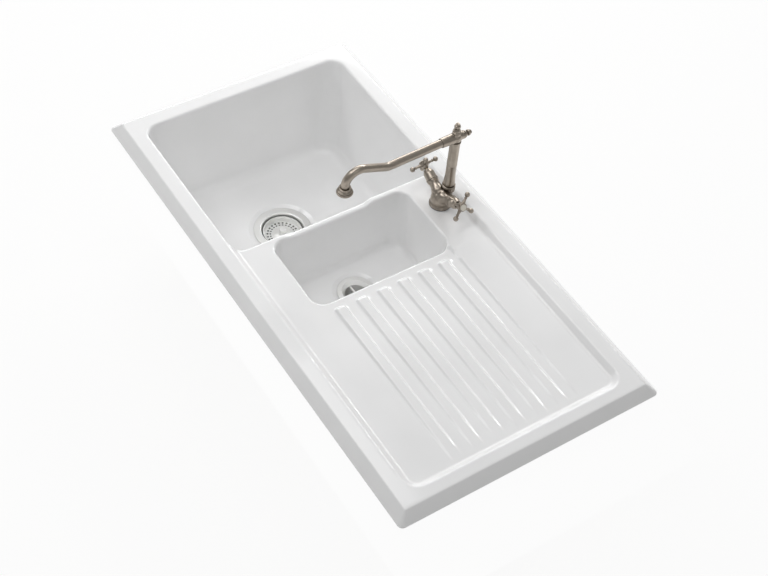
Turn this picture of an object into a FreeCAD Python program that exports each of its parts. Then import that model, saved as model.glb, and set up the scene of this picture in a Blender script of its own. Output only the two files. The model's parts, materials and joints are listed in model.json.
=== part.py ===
import FreeCAD, Part
import math
import os
import Sketcher

# Inset ceramic kitchen sink with a main bowl, a half bowl, a ribbed drainer,
# a basket strainer waste, a grid waste and a two-handle mixer tap.
# Frame: X along the length with the drainer at +X, Y to the rear, Z up.
# The origin is the centre of the worktop cut-out, level with the worktop.
# All sizes are in millimetres and degrees.
SIZES = {
    # Ceramic rim and deck
    "overall_length": 985.0,
    "overall_width": 508.0,
    "rim_height": 19.0,
    "rim_lip": 1.6,
    "bevel_inset": 17.6,
    "rim_corner_radius": 9.0,
    "bevel_corner_radius": 3.0,
    "recess_left_margin": 47.5,
    "recess_right_margin": 41.5,
    "recess_side_margin": 46.0,
    "recess_depth": 10.0,
    "recess_wall_run": 5.0,
    "recess_cove_radius": 7.0,
    "basin_corner_radius": 26.0,
    "rim_seat_width": 22.0,
    "deck_thickness": 17.0,
    "pan_corner_radius": 30.0,
    # Bowls
    "divider_place": -99.5,
    "divider_width": 11.0,
    "bowl_wall": 13.0,
    "main_bowl_depth": 216.0,
    "main_bowl_draft": 12.5,
    "main_floor_corner_radius": 44.0,
    "main_floor_fillet": 30.0,
    "half_bowl_length": 158.0,
    "half_bowl_front_gap": 111.0,
    "clamp_wall_clearance": 1.0,
    "half_bowl_depth": 133.0,
    "half_bowl_draft": 10.0,
    "half_bowl_corner_radius": 24.0,
    "half_floor_corner_radius": 32.0,
    "half_floor_fillet": 22.0,
    "weir_width": 144.0,
    "weir_shift": -15.0,
    "weir_depth": 8.5,
    "weir_slope_run": 11.0,
    # Drainer
    "drainer_length": 361.0,
    "drainer_side_inset": 3.5,
    "drainer_fall": 6.8,
    "rib_start": 21.0,
    "rib_count": 6,
    "rib_side_gap": 30.5,
    "rib_top_width": 19.0,
    "rib_foot_width": 24.0,
    "rib_round_radius": 3.5,
    "rib_nose_run": 9.0,
    # Seats and holes for the two wastes
    "waste_shift": -7.0,
    "main_dish_radius": 64.0,
    "main_seat_radius": 58.5,
    "main_seat_depth": 4.2,
    "main_hole_radius": 45.0,
    "half_dish_radius": 43.0,
    "half_seat_radius": 36.5,
    "half_seat_depth": 3.4,
    "half_hole_radius": 27.0,
    # Basket strainer waste
    "seal_thickness": 2.0,
    "under_seal_thickness": 3.0,
    "strainer_sheet": 1.2,
    "strainer_radius": 56.5,
    "strainer_edge_roll": 2.2,
    "strainer_seal_inner_radius": 47.0,
    "strainer_seal_outer_radius": 54.0,
    "strainer_mouth_radius": 44.0,
    "strainer_mouth_roll": 2.5,
    "strainer_depth": 20.0,
    "strainer_floor_radius": 38.8,
    "strainer_floor_roll": 2.0,
    "strainer_slot_inner_radius": 9.5,
    "strainer_slot_outer_radius": 21.0,
    "strainer_slot_half_angle": 36.0,
    "strainer_slot_count": 4,
    "strainer_hub_radius": 8.2,
    "strainer_hub_drop": 8.2,
    "waste_collar_radius": 58.0,
    "waste_collar_height": 6.0,
    "waste_chamber_radius": 44.2,
    "waste_chamber_height": 20.0,
    "waste_funnel_height": 18.0,
    "waste_wall": 3.3,
    "waste_tail_radius": 23.9,
    "waste_tail_length": 36.0,
    "waste_spoke_width": 3.0,
    "waste_spoke_height": 10.0,
    "waste_spoke_count": 3,
    "insert_radius": 7.0,
    "insert_length": 16.0,
    "boss_wall": 3.0,
    "waste_screw_radius": 4.0,
    "waste_screw_reach": 18.0,
    "waste_screw_head_radius": 6.6,
    "waste_screw_head_height": 3.5,
    # Lift-out basket
    "basket_drop": 5.5,
    "basket_sheet": 0.8,
    "basket_rim_radius": 38.6,
    "basket_rim_width": 2.0,
    "basket_depth": 9.0,
    "basket_floor_radius": 33.8,
    "basket_dome_radius": 18.0,
    "basket_dome_top_radius": 9.0,
    "basket_dome_height": 4.0,
    "basket_outer_ring_radius": 29.5,
    "basket_outer_hole_radius": 2.1,
    "basket_inner_ring_radius": 24.0,
    "basket_inner_hole_radius": 1.7,
    "basket_hole_count": 24,
    "stem_radius": 2.5,
    "stem_length": 25.5,
    "basket_seal_radius": 24.5,
    "basket_seal_lip": 2.0,
    "basket_seal_hub_radius": 11.0,
    "stem_nut_flats": 8.6,
    "stem_nut_height": 2.8,
    "knob_foot_radius": 5.0,
    "knob_foot_height": 1.8,
    "knob_waist_radius": 3.4,
    "knob_waist_height": 4.3,
    "knob_head_radius": 7.6,
    "knob_head_start": 7.3,
    "knob_height": 11.3,
    "knob_edge_roll": 2.4,
    # Grid waste
    "grid_flange_radius": 35.0,
    "grid_flange_thickness": 1.6,
    "grid_flange_roll": 1.2,
    "grid_cone_mouth_radius": 26.4,
    "grid_shoulder_radius": 26.2,
    "grid_cone_depth": 6.7,
    "grid_bore_radius": 20.4,
    "grid_tail_length": 72.0,
    "grid_thread_radius": 24.4,
    "grid_thread_spare": 2.0,
    "grid_seal_inner_radius": 27.5,
    "grid_seal_thickness": 1.6,
    "grid_bar_width": 4.0,
    "grid_bar_thickness": 3.0,
    "grid_bar_drop": 1.0,
    "grid_hub_radius": 5.0,
    "grid_bar_count": 4,
    "back_nut_flats": 62.0,
    "back_nut_height": 8.4,
    "under_seal_inner_radius": 25.0,
    # Mixer tap: body and fixing
    "tap_place": -32.0,
    "tap_rear_gap": 81.0,
    "tap_hole_radius": 17.5,
    "tap_seal_thickness": 1.5,
    "tap_seal_inner_radius": 14.5,
    "tap_seal_radius": 20.0,
    "tap_foot_radius": 20.5,
    "tap_foot_height": 2.6,
    "tap_waist_radius": 17.0,
    "tap_waist_height": 7.0,
    "bulb_radius": 18.4,
    "bulb_height": 16.0,
    "bulb_top": 31.0,
    "branch_start": 20.0,
    "inlet_radius": 5.0,
    "inlet_depth": 12.0,
    "inlet_spacing": 15.2,
    "inlet_forward": 4.5,
    "inlet_recess_margin": 0.6,
    "inlet_recess_depth": 8.8,
    "stud_radius": 4.0,
    "stud_back": 9.5,
    "stud_hold": 7.0,
    "stud_length": 49.0,
    "clamp_radius": 24.0,
    "clamp_slot_width": 27.0,
    "clamp_slot_end": 1.5,
    "clamp_pad_thickness": 3.0,
    "clamp_plate_thickness": 2.5,
    "fixing_nut_flats": 13.0,
    "fixing_nut_height": 6.5,
    # Mixer tap: valves and cross handles
    "valve_rise": 24.0,
    "branch_root_radius": 13.0,
    "branch_root_length": 12.0,
    "branch_neck_radius": 9.4,
    "branch_neck_length": 26.0,
    "branch_seat_radius": 11.0,
    "branch_length": 33.0,
    "branch_rim": 3.0,
    "cartridge_radius": 7.9,
    "cartridge_depth": 13.0,
    "cartridge_flange_radius": 9.7,
    "cartridge_flange_height": 2.0,
    "cartridge_flats": 15.0,
    "cartridge_flats_height": 7.0,
    "cartridge_neck_radius": 6.0,
    "cartridge_height": 15.0,
    "spindle_radius": 3.7,
    "spindle_depth": 5.0,
    "spindle_top": 31.0,
    "bonnet_radius": 10.9,
    "bonnet_shoulder_radius": 10.2,
    "bonnet_shoulder_height": 14.0,
    "bonnet_height": 21.0,
    "bonnet_neck_radius": 6.2,
    "bonnet_mouth_radius": 4.7,
    "bonnet_wall": 1.0,
    "handle_gap": 2.5,
    "handle_foot_radius": 5.2,
    "handle_waist_height": 4.0,
    "handle_hub_radius": 7.6,
    "handle_hub_length": 14.0,
    "handle_arm_height": 8.6,
    "handle_arm_reach": 23.5,
    "handle_arm_root_radius": 3.4,
    "handle_arm_tip_radius": 2.1,
    "handle_ball_radius": 4.8,
    "handle_arm_count": 4,
    "left_handle_twist": -12.0,
    "right_handle_twist": -40.0,
    "button_radius": 6.0,
    "button_sink": 1.6,
    "button_height": 3.4,
    "button_edge_roll": 1.3,
    "handle_screw_radius": 1.9,
    "handle_screw_length": 12.0,
    "handle_screw_head_radius": 3.4,
    "handle_screw_head_height": 2.2,
    "handle_web": 1.6,
    # Mixer tap: post and spout
    "post_setback": 14.0,
    "riser_radius": 9.0,
    "riser_foot": 8.0,
    "riser_height": 26.5,
    "socket_radius": 10.4,
    "socket_height": 33.5,
    "socket_bore_radius": 7.56,
    "socket_floor": 10.0,
    "spigot_radius": 7.5,
    "spigot_foot": 10.6,
    "seal_ring_width": 1.8,
    "seal_ring_height": 2.0,
    "seal_lower_height": 14.5,
    "seal_pitch": 6.5,
    "collar_radius": 12.2,
    "collar_start": 29.5,
    "collar_top": 43.4,
    "collar_chamber_top": 37.9,
    "collar_groove": 0.9,
    "neck_radius": 8.1,
    "retainer_radius": 9.4,
    "retainer_height": 3.4,
    "post_foot_radius": 9.5,
    "post_swell_radius": 10.4,
    "post_swell_height": 8.0,
    "post_waist_radius": 9.2,
    "post_waist_height": 22.0,
    "post_bead_height": 50.0,
    "post_bead_width": 2.0,
    "post_hub_gap": 11.0,
    "hub_collar_radius": 10.3,
    "hub_collar_height": 3.0,
    "hub_ball_radius": 10.9,
    "hub_height": 158.0,
    "hub_stub_radius": 7.6,
    "hub_top_stub": 12.0,
    "hub_rear_stub": 14.0,
    "hub_joint_root_radius": 9.6,
    "hub_joint_tip_radius": 8.7,
    "hub_joint_length": 31.0,
    "hub_joint_bore": 18.0,
    "spout_radius": 7.4,
    "spout_wall": 1.3,
    "spout_reach": 224.0,
    "spout_drop_angle": 2.0,
    "spout_rise_angle": 22.0,
    "spout_kink_reach": 140.0,
    "spout_kink_radius": 30.0,
    "spout_crook_radius": 26.0,
    "spout_drop": 24.5,
    "bell_radius": 15.4,
    "bell_height": 14.0,
    "bell_collar_radius": 10.3,
    "bell_collar_height": 3.0,
    "bell_neck_radius": 9.4,
    "bell_flare_radius": 26.0,
    "bell_lip": 2.0,
    "bell_mouth_radius": 13.0,
    "bell_shelf_height": 2.0,
    "bell_socket_height": 8.6,
    "aerator_radius": 9.5,
    "aerator_height": 3.6,
    "aerator_rib": 1.0,
    "aerator_washer_radius": 6.3,
    "aerator_washer_height": 1.5,
    # Finials on the hub
    "finial_foot_radius": 7.6,
    "finial_neck_radius": 4.6,
    "finial_bulb_radius": 7.4,
    "finial_tip_neck_radius": 2.8,
    "finial_tip_radius": 4.2,
    "finial_bulb_bend": 8.9,
    "finial_length": 20.5,
    "rear_finial_length": 17.5,
    # Clearances shared by mating pieces
    "running_clearance": 0.06,
    "fixed_clearance": 0.15,
    "body_clearance": 0.3,
    "cut_overrun": 3.0,
}

# Shares of the finial's length at which its outline changes
FINIAL_NECK_SHARE = 0.22
FINIAL_BULB_START_SHARE = 0.30
FINIAL_BULB_END_SHARE = 0.66
FINIAL_TIP_NECK_SHARE = 0.74
FINIAL_FOOT_SHARE = 0.09
# A hexagon's corner distance as a share of its distance across the flats
HEXAGON_CORNER_SHARE = 1.0 / math.sqrt(3.0)
FULL_TURN = 360.0
QUARTER_TURN = 90.0
SAME_PLACE = 1e-4

doc = FreeCAD.newDocument("CeramicKitchenSink")
sheet = doc.addObject("Spreadsheet::Sheet", "Sizes")
finished = []


class Size:
    """A size that carries both its value and the sheet formula that gives it."""

    def __init__(self, value, formula):
        self.value = value
        self.formula = formula

    def __add__(self, other):
        other = as_size(other)
        return Size(self.value + other.value, f"({self.formula} + {other.formula})")

    def __sub__(self, other):
        other = as_size(other)
        return Size(self.value - other.value, f"({self.formula} - {other.formula})")

    def __mul__(self, other):
        other = as_size(other)
        return Size(self.value * other.value, f"({self.formula} * {other.formula})")

    def __truediv__(self, other):
        other = as_size(other)
        return Size(self.value / other.value, f"({self.formula} / {other.formula})")

    def __neg__(self):
        return Size(-self.value, f"(0 - {self.formula})")


class Sheet:
    """Gives each named size of the sheet as a Size."""

    def __getattr__(self, name):
        return Size(SIZES[name], f"Sizes.{name}")


def as_size(number):
    """A plain number as a Size, and a Size as it is."""
    if isinstance(number, Size):
        return number
    return Size(number, repr(number))


def sine(angle):
    """Sine of an angle in degrees."""
    return Size(math.sin(math.radians(angle.value)), f"sin({angle.formula})")


def cosine(angle):
    """Cosine of an angle in degrees."""
    return Size(math.cos(math.radians(angle.value)), f"cos({angle.formula})")


def tangent(angle):
    """Tangent of an angle in degrees."""
    return Size(math.tan(math.radians(angle.value)), f"tan({angle.formula})")


S = Sheet()


def fill_sheet():
    """Write every named size into the sheet under its own alias."""
    for row, (name, value) in enumerate(SIZES.items(), start=1):
        sheet.set(f"A{row}", name)
        sheet.set(f"B{row}", str(value))
        sheet.setAlias(f"B{row}", name)
    doc.recompute()


def new_body(label):
    """An empty body, whose label names its file."""
    body = doc.addObject("PartDesign::Body", label)
    body.Label = label
    finished.append(body)
    return body


def place(body, along, back, up, tilt=None, twist=None):
    """Put a body at its place, twisted about its own axis, then leaned about Y by tilt degrees."""
    lean = FreeCAD.Rotation(FreeCAD.Vector(0, 1, 0), as_size(tilt or 0).value)
    spin = FreeCAD.Rotation(FreeCAD.Vector(0, 0, 1), as_size(twist or 0).value)
    base = FreeCAD.Vector(as_size(along).value, as_size(back).value, as_size(up).value)
    body.Placement = FreeCAD.Placement(base, lean.multiply(spin))
    for letter, value in (("x", along), ("y", back), ("z", up)):
        body.setExpression(f"Placement.Base.{letter}", as_size(value).formula)


def sketch_on(body, name, role, lift=0, turn=0, slide=0, along=0):
    """A sketch on one of the body's own planes, lifted off it, turned in it and moved in it."""
    plane = [item for item in body.Origin.OriginFeatures if item.Role == role][0]
    sketch = body.newObject("Sketcher::SketchObject", f"{body.Label}_{name}_sketch")
    sketch.AttachmentSupport = [(plane, "")]
    sketch.MapMode = "FlatFace"
    sketch.AttachmentOffset = FreeCAD.Placement(
        FreeCAD.Vector(as_size(along).value, as_size(slide).value, as_size(lift).value),
        FreeCAD.Rotation(FreeCAD.Vector(0, 0, 1), as_size(turn).value),
    )
    moves = (("Base.x", along), ("Base.y", slide), ("Base.z", lift), ("Rotation.Angle", turn))
    for name, value in moves:
        if isinstance(value, Size):
            sketch.setExpression(f"AttachmentOffset.{name}", value.formula)
    return sketch


def left_bend(across, up, radius):
    """A point reached by an arc that turns to the left."""
    return (across, up, radius, 1)


def right_bend(across, up, radius):
    """A point reached by an arc that turns to the right."""
    return (across, up, radius, -1)


def edge_between(start, end):
    """The line or arc from one point of an outline to the next."""
    first = FreeCAD.Vector(as_size(start[0]).value, as_size(start[1]).value, 0)
    last = FreeCAD.Vector(as_size(end[0]).value, as_size(end[1]).value, 0)
    if len(end) == 2:
        return Part.LineSegment(first, last)
    radius = end[2].value
    side = end[3]
    chord = last - first
    half = chord.Length / 2
    rise = math.sqrt(max(radius * radius - half * half, 0.0))
    normal = FreeCAD.Vector(-chord.y, chord.x, 0)
    normal.normalize()
    centre = (first + last) * 0.5 + normal * (rise * side)
    circle = Part.Circle(centre, FreeCAD.Vector(0, 0, 1), radius)
    angle_first = math.atan2(first.y - centre.y, first.x - centre.x)
    angle_last = math.atan2(last.y - centre.y, last.x - centre.x)
    if side > 0:
        return Part.ArcOfCircle(circle, angle_first, angle_last)
    return Part.ArcOfCircle(circle, angle_last, angle_first)


def ends_of(point):
    """Which end of an edge is its first and which its last, as the sketch counts them."""
    if len(point) == 4 and point[3] < 0:
        return 2, 1
    return 1, 2


def hold(sketch, kind, geometry, end, value):
    """Hold one coordinate of a point by its size."""
    value = as_size(value)
    if abs(value.value) < SAME_PLACE:
        axis = -2 if kind == "DistanceX" else -1
        sketch.addConstraint(Sketcher.Constraint("PointOnObject", geometry, end, axis))
        return
    number = sketch.addConstraint(Sketcher.Constraint(kind, -1, 1, geometry, end, value.value))
    sketch.setExpression(f"Constraints[{number}]", value.formula)


def trace(sketch, path, closed=True):
    """Draw an outline through the points of a path, each held by its own two sizes."""
    count = len(path) if closed else len(path) - 1
    first = sketch.GeometryCount
    for index in range(count):
        sketch.addGeometry(edge_between(path[index], path[(index + 1) % len(path)]))
    for index in range(count):
        end = path[(index + 1) % len(path)]
        start_end, last_end = ends_of(end)
        if index + 1 < count or closed:
            following = first + (index + 1) % count
            following_start = ends_of(path[(index + 2) % len(path)])[0]
            joint = Sketcher.Constraint("Coincident", first + index, last_end, following, following_start)
            sketch.addConstraint(joint)
        if index == 0 and not closed:
            hold(sketch, "DistanceX", first, start_end, path[0][0])
            hold(sketch, "DistanceY", first, start_end, path[0][1])
        hold(sketch, "DistanceX", first + index, last_end, end[0])
        hold(sketch, "DistanceY", first + index, last_end, end[1])
        if len(end) == 4:
            number = sketch.addConstraint(Sketcher.Constraint("Radius", first + index, end[2].value))
            sketch.setExpression(f"Constraints[{number}]", end[2].formula)


def ring(sketch, across, up, radius):
    """Draw a circle."""
    centre = FreeCAD.Vector(as_size(across).value, as_size(up).value, 0)
    index = sketch.addGeometry(Part.Circle(centre, FreeCAD.Vector(0, 0, 1), radius.value))
    hold(sketch, "DistanceX", index, 3, across)
    hold(sketch, "DistanceY", index, 3, up)
    number = sketch.addConstraint(Sketcher.Constraint("Radius", index, radius.value))
    sketch.setExpression(f"Constraints[{number}]", radius.formula)


def rectangle(left, right, front, rear):
    """The outline of a plain rectangle."""
    return [(left, front), (right, front), (right, rear), (left, rear)]


def rounded_rectangle(left, right, front, rear, radius):
    """The outline of a rectangle with round corners."""
    return [
        left_bend(left + radius, front, radius),
        (right - radius, front),
        left_bend(right, front + radius, radius),
        (right, rear - radius),
        left_bend(right - radius, rear, radius),
        (left + radius, rear),
        left_bend(left, rear - radius, radius),
        (left, front + radius),
    ]


def hexagon(flats):
    """The outline of a hexagon with the given distance across its flats."""
    corner = flats * HEXAGON_CORNER_SHARE
    half = flats / 2
    return [
        (corner, 0),
        (corner / 2, half),
        (-corner / 2, half),
        (-corner, 0),
        (-corner / 2, -half),
        (corner / 2, -half),
    ]


def turned(body, name, path, turn=0, lift=0, slide=0, along=0, role="XZ_Plane", kind="Revolution"):
    """Turn a closed outline about its upright axis and add it."""
    sketch = sketch_on(body, name, role, lift, turn, slide, along)
    trace(sketch, path)
    feature = body.newObject(f"PartDesign::{kind}", f"{body.Label}_{name}")
    feature.Profile = sketch
    feature.ReferenceAxis = (sketch, ["V_Axis"])
    feature.Angle = FULL_TURN
    return feature


def bored(body, name, path, turn=0, lift=0, slide=0, along=0):
    """Turn a closed outline about its upright axis and cut it away."""
    return turned(body, name, path, turn, lift, slide, along, kind="Groove")


def ball_outline(middle, radius):
    """Half a circle beside the upright axis, drawn as two quarters."""
    return [
        (0, middle - radius),
        left_bend(radius, middle, radius),
        left_bend(0, middle + radius, radius),
    ]


def extruded(body, kind, name, sketch, length, down=False, both=False):
    """Push a sketch into a solid that is added or cut."""
    feature = body.newObject(f"PartDesign::{kind}", f"{body.Label}_{name}")
    feature.Profile = sketch
    feature.Length = length.value
    feature.setExpression("Length", length.formula)
    feature.Reversed = down
    if both:
        feature.SideType = "Symmetric"
    return feature


def padded(body, name, sketch, length, down=False, both=False):
    """Add a straight solid over a sketch, upwards unless down."""
    return extruded(body, "Pad", name, sketch, length, down, both)


def pocketed(body, name, sketch, length, up=False, both=False):
    """Cut a straight pocket below a sketch, or above it when up."""
    return extruded(body, "Pocket", name, sketch, length, up, both)


def lofted(body, kind, name, first, second):
    """Join two outlines, each given with its height, by straight walls."""
    sketches = []
    for number, (path, height) in enumerate((first, second)):
        sketch = sketch_on(body, f"{name}_{number}", "XY_Plane", lift=height)
        trace(sketch, path)
        sketches.append(sketch)
    feature = body.newObject(f"PartDesign::{kind}", f"{body.Label}_{name}")
    feature.Profile = sketches[0]
    feature.Sections = [sketches[1]]
    feature.Ruled = True
    return feature


def repeated(body, name, feature, count):
    """Repeat a feature round the body's upright axis."""
    axis = [item for item in body.Origin.OriginFeatures if item.Role == "Z_Axis"][0]
    pattern = body.newObject("PartDesign::PolarPattern", f"{body.Label}_{name}")
    pattern.Originals = [feature]
    pattern.Axis = (axis, [""])
    pattern.Angle = FULL_TURN
    pattern.Occurrences = int(count.value)
    pattern.setExpression("Occurrences", count.formula)
    body.Tip = pattern
    return pattern


def mirrored(body, name, features):
    """Repeat features on the other side of the body's YZ plane."""
    plane = [item for item in body.Origin.OriginFeatures if item.Role == "YZ_Plane"][0]
    mirror = body.newObject("PartDesign::Mirrored", f"{body.Label}_{name}")
    mirror.Originals = features
    mirror.MirrorPlane = (plane, [""])
    body.Tip = mirror
    return mirror


def round_edges(body, name, radius, chosen):
    """Round the edges of the body's last feature that a test picks out."""
    doc.recompute()
    base = body.Tip
    names = [f"Edge{number}" for number, edge in enumerate(base.Shape.Edges, start=1) if chosen(edge)]
    fillet = body.newObject("PartDesign::Fillet", f"{body.Label}_{name}")
    fillet.Base = (base, names)
    fillet.Radius = radius.value
    fillet.setExpression("Radius", radius.formula)
    return fillet


def level_with(height):
    """A test for edges that lie flat at one height."""
    def chosen(edge):
        box = edge.BoundBox
        return abs(box.ZMin - height.value) < SAME_PLACE and abs(box.ZMax - height.value) < SAME_PLACE
    return chosen


fill_sheet()

# Heights and edges that several pieces share
DECK = S.rim_height - S.recess_depth
DECK_UNDERSIDE = DECK - S.deck_thickness
RECESS_LEFT = S.recess_left_margin - S.overall_length / 2
RECESS_RIGHT = S.overall_length / 2 - S.recess_right_margin
RECESS_SIDE = S.overall_width / 2 - S.recess_side_margin
MAIN_RIGHT = S.divider_place - S.divider_width / 2
MAIN_FLOOR = S.rim_height - S.main_bowl_depth
MAIN_CENTRE = (RECESS_LEFT + MAIN_RIGHT) / 2
HALF_LEFT = S.divider_place + S.divider_width / 2
HALF_RIGHT = HALF_LEFT + S.half_bowl_length
TAP_BACK = S.overall_width / 2 - S.tap_rear_gap
HALF_FRONT = S.half_bowl_front_gap - S.overall_width / 2
HALF_REAR = TAP_BACK - S.clamp_radius - S.clamp_wall_clearance - S.bowl_wall
HALF_FLOOR = S.rim_height - S.half_bowl_depth
HALF_CENTRE = (HALF_LEFT + HALF_RIGHT) / 2
DRAINER_END = HALF_RIGHT + S.drainer_length
POST_TOP = S.hub_height - S.post_hub_gap
SPOUT_OUTLET = S.hub_height - S.spout_drop


def inset_outline(left, right, front, rear, inset, radius):
    """A rounded rectangle drawn in on all four sides by one inset."""
    return rounded_rectangle(left + inset, right - inset, front + inset, rear - inset, radius)


def add_rim(body):
    """The bevelled rim and the pan under it that drops into the worktop."""
    half_length = S.overall_length / 2
    half_width = S.overall_width / 2
    outer = rounded_rectangle(-half_length, half_length, -half_width, half_width, S.rim_corner_radius)
    inner = inset_outline(
        -half_length, half_length, -half_width, half_width, S.bevel_inset, S.bevel_corner_radius
    )
    edge = sketch_on(body, "rim", "XY_Plane")
    trace(edge, outer)
    padded(body, "rim", edge, S.rim_lip)
    lofted(body, "AdditiveLoft", "bevel", (outer, S.rim_lip), (inner, S.rim_height))
    pan = sketch_on(body, "pan", "XY_Plane")
    seat = S.rim_seat_width
    trace(pan, inset_outline(-half_length, half_length, -half_width, half_width, seat, S.pan_corner_radius))
    padded(body, "pan", pan, -DECK_UNDERSIDE, down=True)


def bowl_outlines(left, right, front, rear, top_radius, draft, floor_radius):
    """The outline of a bowl at its mouth and at its floor."""
    mouth = rounded_rectangle(left, right, front, rear, top_radius)
    floor = inset_outline(left, right, front, rear, draft, floor_radius)
    return mouth, floor


def add_bowl_shell(body, name, left, right, front, rear, corner, draft, floor_corner, floor):
    """The outside of a bowl, one wall thickness larger than its inside."""
    wall = S.bowl_wall
    mouth, base = bowl_outlines(
        left - wall, right + wall, front - wall, rear + wall, corner + wall, draft, floor_corner + wall
    )
    lofted(body, "AdditiveLoft", name, (mouth, as_size(0)), (base, floor - wall))


def cut_bowl(body, name, mouth_height, outline, floor, fillet):
    """The inside of a bowl, with a round sweep where the walls meet the floor."""
    mouth, base = bowl_outlines(*outline)
    lofted(body, "SubtractiveLoft", name, (mouth, mouth_height), (base, floor))
    round_edges(body, f"{name}_floor", fillet, level_with(floor))


def cut_weir(body):
    """The lowered middle of the divider, over which the main bowl spills."""
    sketch = sketch_on(body, "weir", "YZ_Plane", lift=S.divider_place)
    half = S.weir_width / 2
    run = S.weir_slope_run
    low = DECK - S.weir_depth
    high = DECK + S.cut_overrun
    spread = run * (S.weir_depth + S.cut_overrun) / S.weir_depth
    path = [
        (S.weir_shift - half, low),
        (S.weir_shift + half, low),
        (S.weir_shift + half + spread, high),
        (S.weir_shift - half - spread, high),
    ]
    trace(sketch, path)
    pocketed(body, "weir", sketch, S.divider_width + S.cut_overrun * 2, both=True)


def cut_drainer(body):
    """The sloping floor of the drainer, and the ribs that stand on it."""
    front = HALF_FRONT + S.drainer_side_inset
    rear = HALF_REAR - S.drainer_side_inset
    middle = (front + rear) / 2
    floor = sketch_on(body, "fall", "XZ_Plane", lift=-middle)
    over = S.cut_overrun
    path = [(HALF_RIGHT - over, DECK - S.drainer_fall), (DRAINER_END, DECK), (HALF_RIGHT - over, DECK + over)]
    trace(floor, path)
    pocketed(body, "fall", floor, rear - front, both=True)
    rib = sketch_on(body, "rib", "YZ_Plane", lift=HALF_RIGHT + S.rib_start)
    spread = (S.rib_foot_width - S.rib_top_width) / 2
    top = S.rib_top_width / 2
    round_off = S.rib_round_radius
    low = DECK - S.drainer_fall
    first = front + S.rib_side_gap
    span = rear - S.rib_side_gap - first
    path = [
        (first - top - spread, low),
        (first + top + spread, low),
        (first + top, DECK - round_off),
        left_bend(first + top - round_off, DECK, round_off),
        (first - top + round_off, DECK),
        left_bend(first - top, DECK - round_off, round_off),
    ]
    trace(rib, path)
    ribs = padded(body, "rib", rib, S.drainer_length - S.rib_start)
    axis = [item for item in body.Origin.OriginFeatures if item.Role == "Y_Axis"][0]
    row = body.newObject("PartDesign::LinearPattern", f"{body.Label}_ribs")
    row.Originals = [ribs]
    row.Direction = (axis, [""])
    row.Occurrences = int(S.rib_count.value)
    row.setExpression("Occurrences", S.rib_count.formula)
    row.Length = span.value
    row.setExpression("Length", span.formula)
    body.Tip = row
    nose = sketch_on(body, "nose", "XZ_Plane", lift=-middle)
    start = HALF_RIGHT + S.rib_start
    run = S.rib_nose_run
    reach = run * run / S.drainer_fall
    path = [
        (start - over, DECK - S.drainer_fall / 2),
        (start, DECK - S.drainer_fall / 2),
        right_bend(start + run, DECK, reach + run),
        (start + run, DECK + over),
        (start - over, DECK + over),
    ]
    trace(nose, path)
    pocketed(body, "nose", nose, rear - front, both=True)


def cut_waste_seat(body, name, centre, floor, dish, seat, depth, hole, wall):
    """The dished seat and the hole for one waste."""
    path = [
        (0, floor + S.cut_overrun),
        (dish, floor + S.cut_overrun),
        (dish, floor),
        (seat, floor - depth),
        (hole, floor - depth),
        (hole, floor - wall - S.cut_overrun),
        (0, floor - wall - S.cut_overrun),
    ]
    bored(body, name, path, lift=-S.waste_shift, along=centre)


def make_basin():
    """The ceramic sink itself, one casting."""
    body = new_body("sink_basin")
    add_rim(body)
    corner = S.basin_corner_radius
    main = (RECESS_LEFT, MAIN_RIGHT, -RECESS_SIDE, RECESS_SIDE, corner)
    half = (HALF_LEFT, HALF_RIGHT, HALF_FRONT, HALF_REAR, S.half_bowl_corner_radius)
    main += (S.main_bowl_draft, S.main_floor_corner_radius)
    half += (S.half_bowl_draft, S.half_floor_corner_radius)
    add_bowl_shell(body, "main_shell", *main, MAIN_FLOOR)
    add_bowl_shell(body, "half_shell", *half, HALF_FLOOR)
    recess = (RECESS_LEFT, RECESS_RIGHT, -RECESS_SIDE, RECESS_SIDE)
    wide = rounded_rectangle(*recess, corner)
    narrow = inset_outline(*recess, S.recess_wall_run, corner - S.recess_wall_run)
    lofted(body, "SubtractiveLoft", "recess", (wide, S.rim_height), (narrow, DECK))
    round_edges(body, "cove", S.recess_cove_radius, level_with(DECK))
    cut_bowl(body, "main_bowl", S.rim_height, main, MAIN_FLOOR, S.main_floor_fillet)
    cut_bowl(body, "half_bowl", DECK, half, HALF_FLOOR, S.half_floor_fillet)
    cut_weir(body)
    cut_drainer(body)
    cut_waste_seat(
        body, "main_seat", MAIN_CENTRE, MAIN_FLOOR, S.main_dish_radius, S.main_seat_radius,
        S.main_seat_depth, S.main_hole_radius, S.bowl_wall,
    )
    cut_waste_seat(
        body, "half_seat", HALF_CENTRE, HALF_FLOOR, S.half_dish_radius, S.half_seat_radius,
        S.half_seat_depth, S.half_hole_radius, S.bowl_wall,
    )
    hole = sketch_on(body, "tap_hole", "XY_Plane", lift=DECK)
    ring(hole, S.tap_place, TAP_BACK, S.tap_hole_radius)
    pocketed(body, "tap_hole", hole, S.deck_thickness + S.cut_overrun)


# Levels at which the two wastes sit in their seats
MAIN_SEAT = MAIN_FLOOR - S.main_seat_depth
MAIN_UNDERSIDE = S.main_seat_depth - S.bowl_wall
HALF_SEAT = HALF_FLOOR - S.half_seat_depth
HALF_UNDERSIDE = S.half_seat_depth - S.bowl_wall
STRAINER_TOP = S.seal_thickness + S.strainer_sheet
STRAINER_FLOOR = STRAINER_TOP - S.strainer_depth
STRAINER_HUB = STRAINER_FLOOR - S.strainer_hub_drop
WASTE_TOP = MAIN_UNDERSIDE - S.under_seal_thickness
BOSS_TOP = STRAINER_HUB - S.strainer_sheet - S.body_clearance
BASKET_TOP = STRAINER_TOP - S.basket_drop
BASKET_FLOOR = BASKET_TOP - S.basket_depth
DOME_TOP = BASKET_FLOOR + S.basket_dome_height
SEAL_FOOT = STRAINER_FLOOR + S.body_clearance
GRID_TOP = S.grid_seal_thickness + S.grid_flange_thickness
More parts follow.
